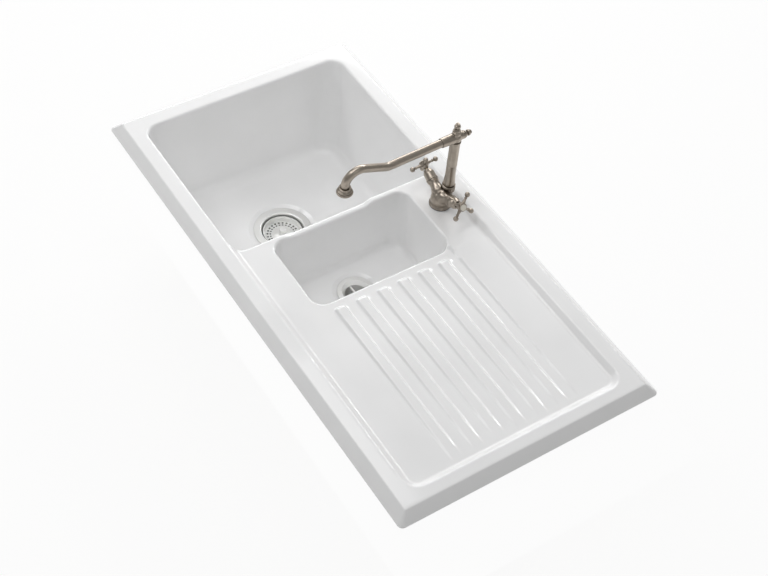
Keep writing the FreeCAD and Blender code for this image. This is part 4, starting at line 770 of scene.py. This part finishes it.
@dataclass
class Basin:
    """The casting: rim, recess, deck, ribbed drainer, two bowls and the pan beneath."""

    rim: Outline = Outline(-492.5, 492.5, -254.0, 254.0, 9.0)
    rim_height: float = 19.0
    bevel: float = 17.6
    rim_flat: float = 5.5
    recess: Outline = Outline(-445.0, 451.0, -208.0, 208.0, 26.0)
    deck: float = 9.0
    underside: float = -8.0
    pan_inset: float = 22.0
    pan_radius: float = 30.0
    # where the weir's line goes down at its front end and comes up at its rear end
    weir_down: tuple[float, float] = (-117.0, -83.0)
    weir_up: tuple[float, float] = (53.0, 71.0)
    weir_depth: float = 6.0
    # from the divider's middle line, where the weir fades out towards the bowls' lips
    weir_fade: tuple[float, float] = (12.0, 16.0)
    drainer: tuple[float, float, float, float] = (64.0, 434.0, -139.5, 131.5)
    fall: float = 5.6
    fall_power: float = 0.72
    first_rib: float = -109.0
    rib_pitch: float = 42.0
    ribs: int = 6
    rib_start: float = 78.0
    rib_half: float = 12.2
    rib_radius: float = 7.0
    rib_slope: float = 5.6
    tap_hole: tuple[float, float, float] = (-32.0, 173.0, 17.5)
    main: BowlShape = BowlShape(
        Outline(-445.0, -105.0, -208.0, 208.0, 26.0), mouth_height=19.0, floor=-197.0,
        draft=12.5, floor_radius=44.0, floor_sweep=19.0, drain=(-275.0, -7.0), dish=66.0,
        seat=58.5, seat_depth=4.2, hole=45.0, lip=4.2, back_reach=(-1000.0, -93.8))
    half: BowlShape = BowlShape(
        Outline(-94.0, 64.0, -143.0, 135.0, 24.0), mouth_height=9.0, floor=-114.0,
        draft=10.0, floor_radius=32.0, floor_sweep=11.0, drain=(-15.0, -7.0), dish=44.0,
        seat=36.5, seat_depth=3.4, hole=27.0, lip=3.9, back_reach=(-105.8, 1000.0))

    @property
    def rib_middles(self) -> list[float]:
        """Where each rib's middle line is across the sink."""
        return [self.first_rib + self.rib_pitch * number for number in range(self.ribs)]

    def rib(self, middle: float, end: float) -> Outline:
        """A rib's outline, from its nose to an end."""
        return Outline(self.rib_start, end, middle - self.rib_half, middle + self.rib_half,
                       self.rib_radius)

    def recess_wall(self) -> Array:
        """The recess wall's line as (depth inside the outline, height): lip, slope and cove."""
        return rounded_line([(-30.0, self.rim_height), (-2.5, self.rim_height, 8.0),
                             (8.5, self.deck, 10.0), (40.0, self.deck)], 9)

    def hole_ring(self, radius: float, height: float) -> Array:
        """A ring about the tap hole's axis."""
        return about_axis(radius, turns(72), height) + [*self.tap_hole[:2], 0.0]

    def hole_gap(self, x: Array, y: Array) -> Array:
        """How far points are outside the tap hole."""
        return np.hypot(x - self.tap_hole[0], y - self.tap_hole[1]) - self.tap_hole[2]

    def on_top(self, points: Array, at_rim: float, at_lips: float, at_hole: float) -> Array:
        """Which points are clear of the rim's top ring, the bowls' lips and the tap hole.

        Args:
            points: Points, x and y a row.
            at_rim: The least distance inside the rim's top ring.
            at_lips: The least distance outside each lip.
            at_hole: The least distance outside the tap hole.

        Returns:
            True or false for each point.
        """
        x, y = points.T
        clear = self.rim.depth(x, y) > self.bevel + self.rim_flat + at_rim
        for bowl in (self.main, self.half):
            clear &= bowl.mouth.depth(x, y) < -bowl.lip - at_lips
        return clear & (self.hole_gap(x, y) > at_hole)

    def height(self, x: Array, y: Array) -> Array:
        """The ceramic's height outside the bowls.

        The recess wall's line is read at the depth inside the recess. The divider is lowered
        between the weir's ends. The drainer is lowered by a fall that shrinks to nothing at
        its far end by a power of the way left. Each rib, behind its soft nose, raises it back
        to the deck inside its own rounded outline.

        Args:
            x: Places along the sink in millimetres.
            y: Places across it.

        Returns:
            Heights in millimetres.
        """
        line = self.recess_wall()
        level = np.interp(self.recess.depth(x, y), line[:, 0], line[:, 1])
        divider = (self.main.mouth.right + self.half.mouth.left) / 2
        weir = ease(y, *self.weir_down) * (1.0 - ease(y, *self.weir_up))
        level = level - self.weir_depth * weir * (1.0 - ease(np.abs(x - divider), *self.weir_fade))
        left, right, front, rear = self.drainer
        share = np.clip((right - x) / (right - left), 0.0, 1.0) ** self.fall_power
        # the front edge is a long soft slope, the rear one a crease
        across = ease(y, front - 42.0, front + 18.0) * (1.0 - ease(y, rear - 4.0, rear + 2.0))
        # beside the half bowl's mouth the fall starts further to the left towards the front
        start = left - 6.0 - 66.0 * ease(-y, -0.5 * (front + rear), -front)
        inside = across * ease(x, start, left + 1.0)
        nose = ease(x, self.rib_start - 1.0, self.rib_start + 10.0)
        # the ribs run on past the drainer's end, where its fall is nothing
        ribs = [self.rib(middle, right + 40.0).depth(x, y) for middle in self.rib_middles]
        raised = nose * ease(np.max(ribs, axis=0), 0.0, self.rib_slope)
        return level - self.fall * share * inside * (1.0 - raised)

    def bowl_rings(self, bowl: BowlShape) -> Array:
        """The bowl as rings from its lip to the bottom of its waste hole.

        A quarter round of the lip's radius runs from the deck's own height into the wall, the
        wall follows its draft, another quarter sweeps into the floor, and the floor's rings
        turn from the rounded rectangle into the round dish about the drain.

        Args:
            bowl: The bowl.

        Returns:
            A grid of points, rings by points by 3.
        """
        outer = bowl.mouth.ring(-bowl.lip, bowl.mouth.radius + bowl.lip)
        top = self.height(outer[:, 0], outer[:, 1])
        low = bowl.floor + bowl.floor_sweep
        rings = [bowl.ring_at(top - bowl.lip * (1.0 - math.cos(angle)), math.sin(angle),
                              -bowl.lip * (1.0 - math.sin(angle)))
                 for angle in np.linspace(0.0, QUARTER, 8)]
        rings += [bowl.ring_at((top - bowl.lip) * (1.0 - share) + low * share)
                  for share in (0.04, 0.12, 0.3, 0.5, 0.7, 0.88, 0.96)]
        rings += [bowl.ring_at(low - bowl.floor_sweep * math.sin(angle),
                               back=bowl.floor_sweep * (1.0 - math.cos(angle)))
                  for angle in np.linspace(0.0, QUARTER, 12)]
        edge = rings[-1][:, :2]
        aim = np.arctan2(edge[:, 1] - bowl.drain[1], edge[:, 0] - bowl.drain[0])
        axis = [*bowl.drain, 0.0]
        round_edge = (about_axis(bowl.dish, aim, 0.0) + axis)[:, :2]
        rings += [at_height(edge * (1 - share) + round_edge * share, bowl.floor)
                  for share in (0.06, 0.2, 0.4, 0.6, 0.8, 0.94)]
        seat = bowl.floor - bowl.seat_depth
        dish = rounded_line([(bowl.dish + 3.0, bowl.floor), (bowl.dish, bowl.floor, 2.0),
                             (bowl.seat, seat, 1.5), (bowl.hole, seat, 1.5),
                             (bowl.hole, bowl.floor - bowl.wall)], 6)
        rings += [about_axis(radius, aim, height) + axis for radius, height in dish[1:]]
        return np.array(rings)

    def bowl_back(self, bowl: BowlShape, last: Array) -> Array:
        """The bowl's underside and outside, from the waste hole out and up to the pan.

        Args:
            bowl: The bowl.
            last: The ring at the bottom of the waste hole.

        Returns:
            A grid of points, rings by points by 3.
        """
        base, roll = bowl.floor - bowl.wall, 8.0
        flat = bowl.back_ring(base, roll)
        rings = [last] + [last * (1 - share) + flat * share for share in (0.08, 0.4, 0.8)]
        rings += [bowl.back_ring(base + roll * (1.0 - math.cos(angle)),
                                 roll * (1.0 - math.sin(angle)))
                  for angle in np.linspace(0.0, QUARTER, 6)]
        heights = np.linspace(base + roll + 4.0, self.underside, 8)
        return np.array(rings + [bowl.back_ring(height) for height in heights])

    def rim_rings(self) -> Array:
        """The pan's wall, the seat and the bevel, from the pan's lower edge in to the rim's top."""
        line = rounded_line(
            [(self.pan_inset, self.underside), (self.pan_inset, 0.0), (0.0, 0.0, 0.5),
             (0.0, 1.6, 2.2), (self.bevel, self.rim_height, 4.6),
             (self.bevel + self.rim_flat, self.rim_height)], 7)
        rings = []
        for inset, height in line:
            # on the bevel the corners tighten from the rim's radius
            radius = self.rim.radius - 6.0 * min(inset / self.bevel, 1.0)
            if inset > self.pan_inset - 1.0 and height < 0.5:
                radius = self.pan_radius
            rings.append(at_height(self.rim.ring(inset, radius, 40, 14), height))
        return np.array(rings)

    def flat_part(self, outer: Array, holes: list[Array]) -> tuple[Array, Array]:
        """The rim's top, the recess, the deck and the drainer as one net of three-sided faces.

        Points lie in rings along the recess wall, in a grid over the drainer that is close at
        the ribs' sides, in rings round the ribs' noses, and round each bowl; a constrained
        Delaunay net joins them, and every height is read from the height formula.

        Args:
            outer: The rim's innermost ring.
            holes: The ring round the tap hole and the lip ring of each bowl.

        Returns:
            Points and faces.
        """
        depths = self.recess_wall()[:, 0]
        depths = np.unique(np.round(depths[(depths > -12.0) & (depths < 20.0)], 2))
        depths = [depths[0] - 2.0, *depths, depths[-1] + 2.0]
        loose = [self.recess.ring(depth, self.recess.radius - depth, 90, 26) for depth in depths]
        left, right, front, rear = self.drainer
        start, half_pitch = self.rib_start, self.rib_pitch / 2
        offsets = np.array([0.0, 4.0, 6.4, 7.3, 8.1, 8.9, 9.7, 10.5, 11.3, self.rib_half, 13.4])
        lines_y = [*(front + np.arange(-43.0, 18.0, 4.0)), *(rear - np.arange(-4.0, 10.0, 0.9))]
        noses = []
        for middle in self.rib_middles:
            lines_y += [*(middle - offsets), *(middle + offsets), middle + half_pitch]
            for reach in (0.0, 1.0, 2.0, 3.0, 4.0, 5.0, self.rib_slope, 6.6, 8.0, 9.4, 10.8):
                ring = self.rib(middle, start + 60.0).ring(reach, self.rib_radius - reach, 12, 12)
                noses.append(ring[ring[:, 0] < start + 14.0])
        lines_x = [*np.arange(left - 5.0, start - 1.0, 3.0),
                   *np.arange(start - 1.0, start + 11.0, 1.1),
                   *np.linspace(start + 12.0, right, 110), right + 6.0]
        grid = np.stack(np.meshgrid(lines_x, np.unique(np.round(lines_y, 2))), -1).reshape(-1, 2)
        # the rings round the noses take the grid's place there
        from_rib = np.abs((grid[:, 1] - self.first_rib + half_pitch) % self.rib_pitch - half_pitch)
        grid = grid[~((grid[:, 0] < start + 13.0) & (grid[:, 0] > start - 1.5) & (from_rib < 13.6))]
        points = np.vstack(loose + [grid] + noses)
        clear = 1.6
        loose = [points[self.on_top(points, clear, clear, 5.0)]]
        for bowl in (self.main, self.half):
            guard = bowl.mouth.ring(-bowl.lip - clear, bowl.mouth.radius + bowl.lip + clear)
            loose.append(guard[self.on_top(guard, 0.0, 1.0, 0.0)])
        flat, faces = net([ring[:, :2] for ring in [outer] + holes], loose)
        kept = self.on_top(flat[faces].mean(1), -0.1, 0.0, 0.0)
        return at_height(flat, self.height(flat[:, 0], flat[:, 1])), faces[kept]

    def pan_face(self, outer: Array) -> tuple[Array, Array]:
        """The flat underside of the pan between its edge and the two bowls' backs.

        Args:
            outer: The pan's lower edge.

        Returns:
            Points and faces, facing down.
        """
        rings, shapes = [outer], []
        for bowl in (self.main, self.half):
            rings.append(bowl.back_ring(self.underside))
            low, high = rings[-1].min(0), rings[-1].max(0)
            shapes.append(Outline(low[0], high[0], low[1], high[1], bowl.mouth.radius + bowl.wall))
        rings.append(self.hole_ring(self.tap_hole[2], 0.0))
        flat, faces = net([ring[:, :2] for ring in rings], [])
        x, y = flat[faces].mean(1).T
        rim, inset = self.rim, self.pan_inset
        pan = Outline(rim.left + inset, rim.right - inset, rim.front + inset, rim.rear - inset,
                      self.pan_radius)
        kept = (pan.depth(x, y) > 0.0) & (self.hole_gap(x, y) > 0.0)
        for shape in shapes:
            kept &= shape.depth(x, y) < 0.0
        return at_height(flat, self.underside), faces[kept][:, ::-1]

    def build(self, palette: Palette) -> None:
        """Make the whole casting as one surface.

        Args:
            palette: The materials.
        """
        shell = Shell()
        rim = self.rim_rings()
        edge = int(np.argmax(rim[:, 0, 2] > -0.05))
        shell.add_grid(rim[:edge + 1], mark=1.0).add_grid(rim[edge:])
        radius = self.tap_hole[2]
        line = rounded_line([(radius + 2.5, self.deck), (radius, self.deck, 1.2),
                             (radius, self.underside)], 5)
        tap = np.array([self.hole_ring(*place) for place in line])
        shell.add_grid(tap)
        holes = [tap[0]]
        for bowl in (self.main, self.half):
            inside = self.bowl_rings(bowl)
            shell.add_grid(inside).add_grid(self.bowl_back(bowl, inside[-1]), mark=1.0)
            holes.append(inside[0])
        shell.add(*self.flat_part(rim[-1], holes)).add(*self.pan_face(rim[0]), mark=1.0)
        casting = shell.build("glazed_casting", sharp=50.0, weld=0.02, marked="bare_clay")
        palette.dress(casting, Finish.GLAZE, "root", "sink_basin")


# Fittings kept from the frame


@dataclass
class FrameCopies:
    """Smooth copies of CAD nodes: loose triangles welded, with sharp edges kept sharp."""

    palette: Palette
    finishes: dict[str, Finish]
    bodies: dict[str, str]
    # the heights between which painted shade darkens a waste's inside
    deep: dict[str, tuple[float, float]] = field(default_factory=lambda: {
        "strainer_cup": (-206.0, -222.0), "grid_waste": (-135.0, -190.0),
        "waste_screw": (-206.0, -222.0)})

    def dress(self, made: Object, node: str) -> Object:
        """Give a piece the finish and the body of the node that it stands for."""
        self.palette.dress(made, self.finishes[node], self.bodies[node], node)
        return made

    def copy(self, node: str) -> Object:
        """Weld a node's triangles into a smooth object.

        Args:
            node: The CAD node.

        Returns:
            The copy, which stands for the node.
        """
        source = frame["nodes"][node].data
        points = np.zeros(len(source.vertices) * 3, np.float32)
        source.vertices.foreach_get("co", points)
        source.calc_loop_triangles()
        faces = np.zeros(len(source.loop_triangles) * 3, np.int32)
        source.loop_triangles.foreach_get("vertices", faces)
        points = points.reshape(-1, 3).astype(float) / MM
        shell = Shell().add(points, faces.reshape(-1, 3))
        top, floor = self.deep.get(node, (-1000.0, -1001.0))
        # painted shade: each point's share of the dark colour, growing with depth between those
        # heights
        shell.marks = [ease(-points[:, 2], -top, -floor)]
        made = shell.build(f"{node}_finish", sharp=34.0, weld=0.001, marked="deep_shade_share")
        return self.dress(made, node)


# The mixer tap


@dataclass
class Tap:
    """The mixer's turned and cast pieces. Its foot stands on the deck; the post stands behind
    it, and each valve leans away from the upright by a lean."""

    copies: FrameCopies
    foot: tuple[float, float, float] = (-32.0, 173.0, 9.0)
    post_back: float = 14.0
    valve_lean: float = 66.0
    valve_start: float = 20.0
    valve_reach: float = 33.0
    left_twist: float = -12.0
    right_twist: float = -40.0
    arm_height: float = 32.1
    hub_height: float = 158.0
    hub_top: float = 12.0
    hub_back: float = 14.0
    tube: float = 7.4
    tube_wall: float = 1.3
    # the outlet's place, y and z
    outlet: tuple[float, float] = (-37.0, 142.5)

    @property
    def laid_back(self) -> Matrix:
        """The turn that lays an upright axis back to point to the rear."""
        return Matrix.Rotation(math.radians(-90.0), 4, "X")

    def at_post(self, up: float = 0.0, back: float = 0.0) -> Matrix:
        """The post's axis, from a height above the deck and a way behind the post."""
        x, y, z = self.foot
        return Matrix.Translation((x, y + self.post_back + back, z + up))

    def at_valve(self, side: int, twist: float = 0.0) -> Matrix:
        """A valve's axis, from its seat outwards.

        Args:
            side: -1 for the left valve, 1 for the right.
            twist: A turn about the axis in degrees.

        Returns:
            The matrix that takes the upright axis there.
        """
        x, y, z = self.foot
        lean = math.radians(self.valve_lean)
        place = (x + side * math.sin(lean) * self.valve_reach, y,
                 z + self.valve_start + math.cos(lean) * self.valve_reach)
        return (Matrix.Translation(place) @ Matrix.Rotation(side * lean, 4, "Y")
                @ Matrix.Rotation(math.radians(twist), 4, "Z"))

    def finish_piece(self, shell: Shell, node: str, matrix: Matrix | None = None) -> Object:
        """Move a shell by a matrix and make it into the piece that stands for a node."""
        made = Shell().join(shell, matrix).build(f"{node}_finish", sharp=38.0)
        return self.copies.dress(made, node)

    def casting(self) -> None:
        """The body, its joints blended, with its foot drawn down to a thin plate: heights from
        the foot's underside to its waist are squeezed towards the deck."""
        mesh = melt(self.copies.copy("tap_body"), 0.5, 16).data
        place = np.zeros(len(mesh.vertices) * 3, np.float32)
        mesh.vertices.foreach_get("co", place)
        place = place.reshape(-1, 3)
        above = place[:, 2] / MM - self.foot[2]
        moved = np.interp(above, [0.0, 1.5, 4.1, 9.0, 100.0], [0.0, 1.5, 2.7, 9.0, 100.0])
        place[:, 2] += ((moved - above) * MM).astype(np.float32)
        mesh.vertices.foreach_set("co", place.reshape(-1))
        mesh.update()
        melt(self.copies.copy("spout_hub"), 0.4, 8)

    def bonnet(self, side: int, node: str) -> None:
        """A valve's cover: a smooth sleeve with a bead round its foot and a rounded shoulder.

        Args:
            side: -1 for the left valve, 1 for the right.
            node: The CAD node that it stands for.
        """
        line = rounded_line(
            [(9.9, 0.2), (11.5, 0.2, 0.4), (11.5, 2.4, 0.9), (10.5, 2.7, 0.3), (10.2, 14.0, 5.0),
             (7.0, 20.0, 0.8), (7.0, 21.0, 0.6), (4.8, 21.0, 0.2), (4.8, 20.0, 0.1),
             (5.6, 19.6, 1.0), (9.2, 13.6, 3.0), (9.9, 0.2)], 6)
        self.finish_piece(lathe(line), node, self.at_valve(side))

    def handle(self, side: int, node: str, twist: float) -> None:
        """A cross handle: a turned hub and four arms, each with a bead, a neck and a ball.

        Args:
            side: -1 for the left valve, 1 for the right.
            node: The CAD node that it stands for.
            twist: How far it is turned on its spindle, in degrees.
        """
        hub = rounded_line(
            [(3.9, 23.5), (5.2, 23.5, 0.4), (5.4, 24.4, 1.0), (7.7, 27.6, 0.8), (7.7, 28.5, 0.3),
             (7.0, 28.9, 0.2), (7.0, 29.4, 0.2), (7.6, 29.8, 0.2), (7.6, 35.0, 0.2),
             (6.9, 35.4, 0.2), (6.9, 35.9, 0.2), (7.8, 36.3, 0.4), (7.8, 37.5, 0.6),
             (6.2, 37.5, 0.2), (6.2, 35.9), (3.6, 35.9), (3.6, 32.6), (2.1, 32.6), (2.1, 31.0),
             (3.9, 31.0), (3.9, 23.5)], 4)
        fall = np.linspace(math.pi - 0.46, 0.0, 24)
        ball = np.stack([4.8 * np.sin(fall), 23.5 + 4.8 * np.cos(fall)], -1)
        arm = rounded_line(
            [(0.0, 5.4), (3.6, 5.4), (3.2, 9.0, 3.0), (2.2, 15.6, 2.0), (2.2, 16.0, 0.2),
             (3.2, 16.2, 0.5), (3.2, 17.4, 0.5), (2.2, 17.6, 0.3), (2.1, 19.2)], 4)
        arm = lathe(np.vstack([arm, ball]), 40)
        matrix = self.at_valve(side, twist)
        shell = Shell().join(lathe(hub, 80), matrix)
        for number in range(4):
            turn = Matrix.Rotation(math.radians(90.0 * number), 4, "Z") @ self.laid_back
            shell.join(arm, matrix @ Matrix.Translation((0.0, 0.0, self.arm_height)) @ turn)
        melt(self.finish_piece(shell, node), 0.32, 2)

    def collar(self) -> None:
        """The nut round the post's foot, fluted for the fingers between two cut rings."""
        line = rounded_line(
            [(10.55, 30.4), (12.0, 30.4, 0.4), (12.2, 32.6, 0.3), (11.3, 33.0, 0.2),
             (11.3, 33.7, 0.2), (12.2, 34.1, 0.3),
             *((12.2, height) for height in np.linspace(34.6, 40.0, 12)), (12.2, 40.5, 0.3),
             (11.3, 40.9, 0.2), (11.3, 41.5, 0.2), (12.1, 41.8, 0.3), (12.1, 42.8, 0.4),
             (11.2, 43.4, 0.3), (8.4, 43.4, 0.3), (8.4, 37.9), (9.7, 37.9), (9.7, 33.5),
             (10.55, 33.5), (10.55, 30.4)], 4)
        radius, height = line.T
        # a millimetre deep on the outside, fading out at both ends
        flutes = (ease(height, 34.4, 35.6) * ease(-height, -40.2, -39.0)
                  * ease(radius, radius.max() - 1.6, radius.max() - 1.2))
        self.finish_piece(lathe(line, 192, 16, flutes), "post_collar", self.at_post())

    def bell(self) -> None:
        """The spout's mouth: a collar, a flare, a dark groove and a wide rounded ring."""
        line = rounded_line(
            [(11.6, 0.3), (13.0, 0.0, 0.5), (14.6, 1.4, 1.6), (14.6, 3.6, 1.6), (13.0, 4.9, 0.8),
             (11.7, 5.1, 0.3), (11.7, 6.0, 0.3), (12.8, 6.3, 0.4), (12.6, 7.4, 0.6),
             (9.9, 9.2, 2.5), (9.3, 10.8, 0.3), (10.4, 11.1, 0.4), (10.4, 13.5, 0.4),
             (9.6, 14.0, 0.3), (7.6, 14.0, 0.3), (7.6, 8.6), (6.3, 8.6), (6.3, 7.1), (9.65, 7.1),
             (9.65, 2.0, 0.6), (11.6, 0.3)], 5)
        out = Matrix.Translation((self.foot[0], *self.outlet))
        self.finish_piece(lathe(line, 128), "outlet_bell", out)
        # the aerator's face: two sets of crossed ribs in a rim, from cosines of x and of y
        angles = turns(144)
        radius = np.concatenate([[0.0], np.linspace(0.15, 8.3, 42)])[::-1][:, None]
        x, y = radius * np.cos(angles), radius * np.sin(angles)
        cell = 1.5
        ribs = np.maximum(np.cos(2 * math.pi * x / cell), np.cos(2 * math.pi * y / cell))
        face = np.stack([x, y, 3.0 - 0.8 * ease(ribs, 0.2, 0.9)], -1)
        rim = [about_axis(*place) for place in (
            (0.0, angles, 5.6), (9.5, angles, 5.6), (9.5, angles, 2.0), (8.5, angles, 2.0))]
        grid = np.concatenate([np.array(rim), face])
        shell = Shell().add(grid, grid_faces(*grid.shape[:2])[:, ::-1])
        self.finish_piece(shell, "aerator_insert", out)

    def spout(self) -> None:
        """The bent tube: out of the hub, up at the kink, over the crook and down to the bell."""
        route = rounded_line([(-18.3, 158.0), (-31.52, 158.0, 30.0), (-140.0, 154.21, 30.0),
                              (-224.0, 188.15, 26.0), (-224.0, 142.4)], 28)
        self.finish_piece(sweep(route, self.tube, self.tube - self.tube_wall), "spout_tube",
                          self.at_post())

    def finials(self) -> None:
        """The two finials on the hub, on one outline: a beaded foot, a cone, a neck and a knob."""
        line = rounded_line(
            [(0.0, 0.0), (7.0, 0.0, 0.4), (7.6, 1.2, 0.5), (7.6, 2.2, 0.4), (6.4, 2.8, 0.2),
             (6.4, 3.4, 0.2), (6.9, 3.8, 0.4), (6.6, 5.6, 2.0), (4.6, 9.4, 0.5), (3.4, 10.0, 0.3),
             (3.4, 10.8, 0.3), (5.4, 11.6, 1.0), (6.0, 14.0, 2.4), (5.0, 16.6, 1.5),
             (3.2, 17.4, 0.3), (3.2, 18.2, 0.3), (3.9, 18.7, 0.4), (3.4, 20.5, 0.8),
             (0.0, 20.5)], 5)
        top = self.at_post(self.hub_height + self.hub_top)
        rear = self.at_post(self.hub_height, self.hub_back) @ self.laid_back
        for node, share, matrix in (("top_finial", 1.0, top), ("rear_finial", 17.5 / 20.5, rear)):
            self.finish_piece(lathe(line * [1.0, share], 80), node, matrix)

    def fixing_stud(self) -> None:
        """The stud that draws the tap down: an M8 thread of 1.25 mm pitch."""
        low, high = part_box("tap_stud")
        middle = ((low[0] + high[0]) / 2 / MM, (low[1] + high[1]) / 2 / MM, 0.0)
        rod = thread(4.0, low[2] / MM, high[2] / MM, 1.25, 0.6)
        self.finish_piece(rod, "tap_stud", Matrix.Translation(middle))

    def build(self) -> None:
        """Make every piece."""
        self.casting()
        for side, name, twist in ((-1, "left", self.left_twist), (1, "right", self.right_twist)):
            self.bonnet(side, f"{name}_bonnet")
            self.handle(side, f"{name}_handle", twist)
        self.collar()
        self.bell()
        self.spout()
        self.finials()
        self.fixing_stud()


@dataclass
class WasteThreads:
    """The pipe threads on the two waste tails, 11 to the inch, as thin sleeves on the tails."""

    pitch: float = 2.31
    crest: float = 0.7
    tail: float = 23.9
    sleeves: tuple = (
        ("main_waste_tail_thread", Finish.WASTE_PLASTIC, (-275.0, -7.0, 0.0), -286.0, -256.0),
        ("half_waste_tail_thread", Finish.WASTE_STEEL, (-15.0, -7.0, 0.0), -188.6, -142.0))

    def build(self, palette: Palette) -> None:
        """Make both sleeves, each from its name, finish, axis and ends.

        Args:
            palette: The materials.
        """
        for name, finish, axis, low, high in self.sleeves:
            ring = thread(self.tail + self.crest, low, high, self.pitch, self.crest - 0.05,
                          self.tail - 0.8, 96)
            made = Shell().join(ring, Matrix.Translation(axis)).build(name, sharp=70.0)
            palette.dress(made, finish, "root")


# Studio


@dataclass
class Studio:
    """Plain pale floor, soft light from the rear left, and the photograph's camera."""

    floor_height: float = -0.2875
    card_height: float = -0.0006
    # how bright the surroundings are, and how much brighter than that from -X, as a share
    fill: float = 0.34
    lean: float = 0.0
    camera_place: tuple[float, float, float] = (1.35409, -1.00268, 1.90633)
    camera_rows: tuple[tuple[float, float, float], ...] = (
        (0.53984488, 0.83865372, 0.07230101),
        (0.66920262, -0.37548748, -0.64123085),
        (-0.51062251, 0.39454922, -0.76393426),
    )
    focal_px: float = 1457.706
    width_px: float = 768.0
    # each lamp's name, place, aim, size in metres, and watts
    lamps: tuple = (
        ("key_rear", (-1.3, 2.2, 2.0), (-0.1, 0.0, 0.0), (1.1, 0.45), 17.0),
        ("left_glow", (-1.9, 1.0, 1.0), (-0.3, 0.0, 0.0), (1.6, 0.7), 19.0),
        ("over_bowl", (-0.28, 0.0, 1.1), (-0.28, 0.0, 0.0), (0.5, 0.5), 1.7),
        ("front_high", (-0.3, -1.2, 2.8), (-0.27, 0.1, -0.1), (1.0, 1.0), 11.0),
        ("left_front", (-1.8, -1.5, 2.4), (-0.27, 0.1, -0.1), (1.0, 1.0), 13.0),
        ("right_fill", (2.4, 0.0, 2.2), (-0.27, 0.0, -0.1), (1.2, 1.2), 4.4),
    )

    def sheet(self, name: str, height: float, outer: Outline,
              hole: Outline | None = None) -> Object:
        """A flat white sheet, with a rounded hole if one is given.

        Args:
            name: The object's name.
            height: Its height in metres.
            outer: Its outline in millimetres.
            hole: The hole's outline in millimetres.

        Returns:
            The sheet.
        """
        ring = outer.ring(0.0, outer.radius, 40, 14)
        # without a hole the inner ring is one point
        inner = hole.ring(0.0, hole.radius, 40, 14) if hole else np.zeros_like(ring)
        grid = np.array([at_height(line, height / MM) for line in (ring, inner)])
        made = Shell().add_grid(grid).build(name)
        made.data.materials.append(StageWhite(f"{name}_white").build())
        return made

    def light(self) -> None:
        """Hang the soft boxes, each facing its aim."""
        for name, place, aim, size, power in self.lamps:
            data = bpy.data.lights.new(name, "AREA")
            data.shape, (data.size, data.size_y), data.energy = "RECTANGLE", size, power
            made = add_object(name, data)
            made.location = place
            made.rotation_euler = (Vector(aim) - Vector(place)).to_track_quat("-Z", "Y").to_euler()

    def world(self) -> None:
        """Pale light from all round, white to the camera."""
        world = bpy.data.worlds.new("pale_room")
        bpy.context.scene.world = world
        world.use_nodes = True
        tree = world.node_tree
        tree.nodes.clear()
        path = add_node(tree, "LightPath")
        way = add_node(tree, "TexCoord").outputs["Generated"]
        along = add_node(tree, "SeparateXYZ", links={0: way}).outputs["X"]
        bright = add_node(tree, "Math", {"operation": "MULTIPLY_ADD", 1: -self.lean * self.fill,
                                         2: self.fill}, {0: along})
        soft = add_node(tree, "Background", {"Color": to_linear("FFFFFF")}, {"Strength": bright})
        white = add_node(tree, "Background", {"Color": to_linear("FFFFFF"), "Strength": 1.0})
        seen = path.outputs["Is Camera Ray"]
        mixed = add_node(tree, "MixShader", links={0: seen, 1: soft, 2: white})
        add_node(tree, "OutputWorld", links={"Surface": mixed})

    def camera(self) -> None:
        """The photograph's camera, from the solved rotation, place and focal length."""
        data = bpy.data.cameras.new("photo_view")
        data.sensor_width = 36.0
        data.lens = self.focal_px * data.sensor_width / self.width_px
        data.clip_start, data.clip_end = 0.05, 50.0
        made = add_object("photo_view", data)
        rows = np.array(self.camera_rows)
        turn = Matrix(np.stack([rows[0], -rows[1], -rows[2]], 1).tolist()).to_4x4()
        turn.translation = self.camera_place
        made.matrix_world = turn
        bpy.context.scene.camera = made

    def build(self) -> None:
        """Set up floor, white card, lamps, world and camera."""
        wide = Outline(-6000.0, 6000.0, -6000.0, 6000.0, 40.0)
        self.sheet("floor", self.floor_height, wide)
        # a card just below the rim's seat, on the camera's sides only, hides the bowls' outsides
        card = Outline(-478.0, 620.0, -304.0, 248.0, 8.0)
        cut_out = Outline(-472.5, 472.5, -234.0, 234.0, 30.0)
        sheet = self.sheet("worktop_card", self.card_height, card, cut_out)
        sheet.visible_shadow = False
        sheet.visible_diffuse = False
        self.light()
        self.world()
        self.camera()


def main() -> None:
    """Build every piece in order, and report each."""
    logging.basicConfig(level=logging.INFO, format="%(name)s: %(message)s")
    bpy.context.scene.view_settings.view_transform = "Standard"
    palette = Palette()
    record = frame["record"]
    finishes = {part["node"]: Finish(part["material_slot"]) for part in record["subparts"]}
    bodies = {node: body for body, nodes in record["behaviour"]["bodies"].items() for node in nodes}
    Basin().build(palette)
    copies = FrameCopies(palette, finishes, bodies)
    Tap(copies).build()
    WasteThreads().build(palette)
    for node in sorted(set(frame["nodes"]) - palette.dressed):
        copies.copy(node)
    Studio().build()
    bpy.context.view_layer.update()


if __name__ == "__main__":
    main()
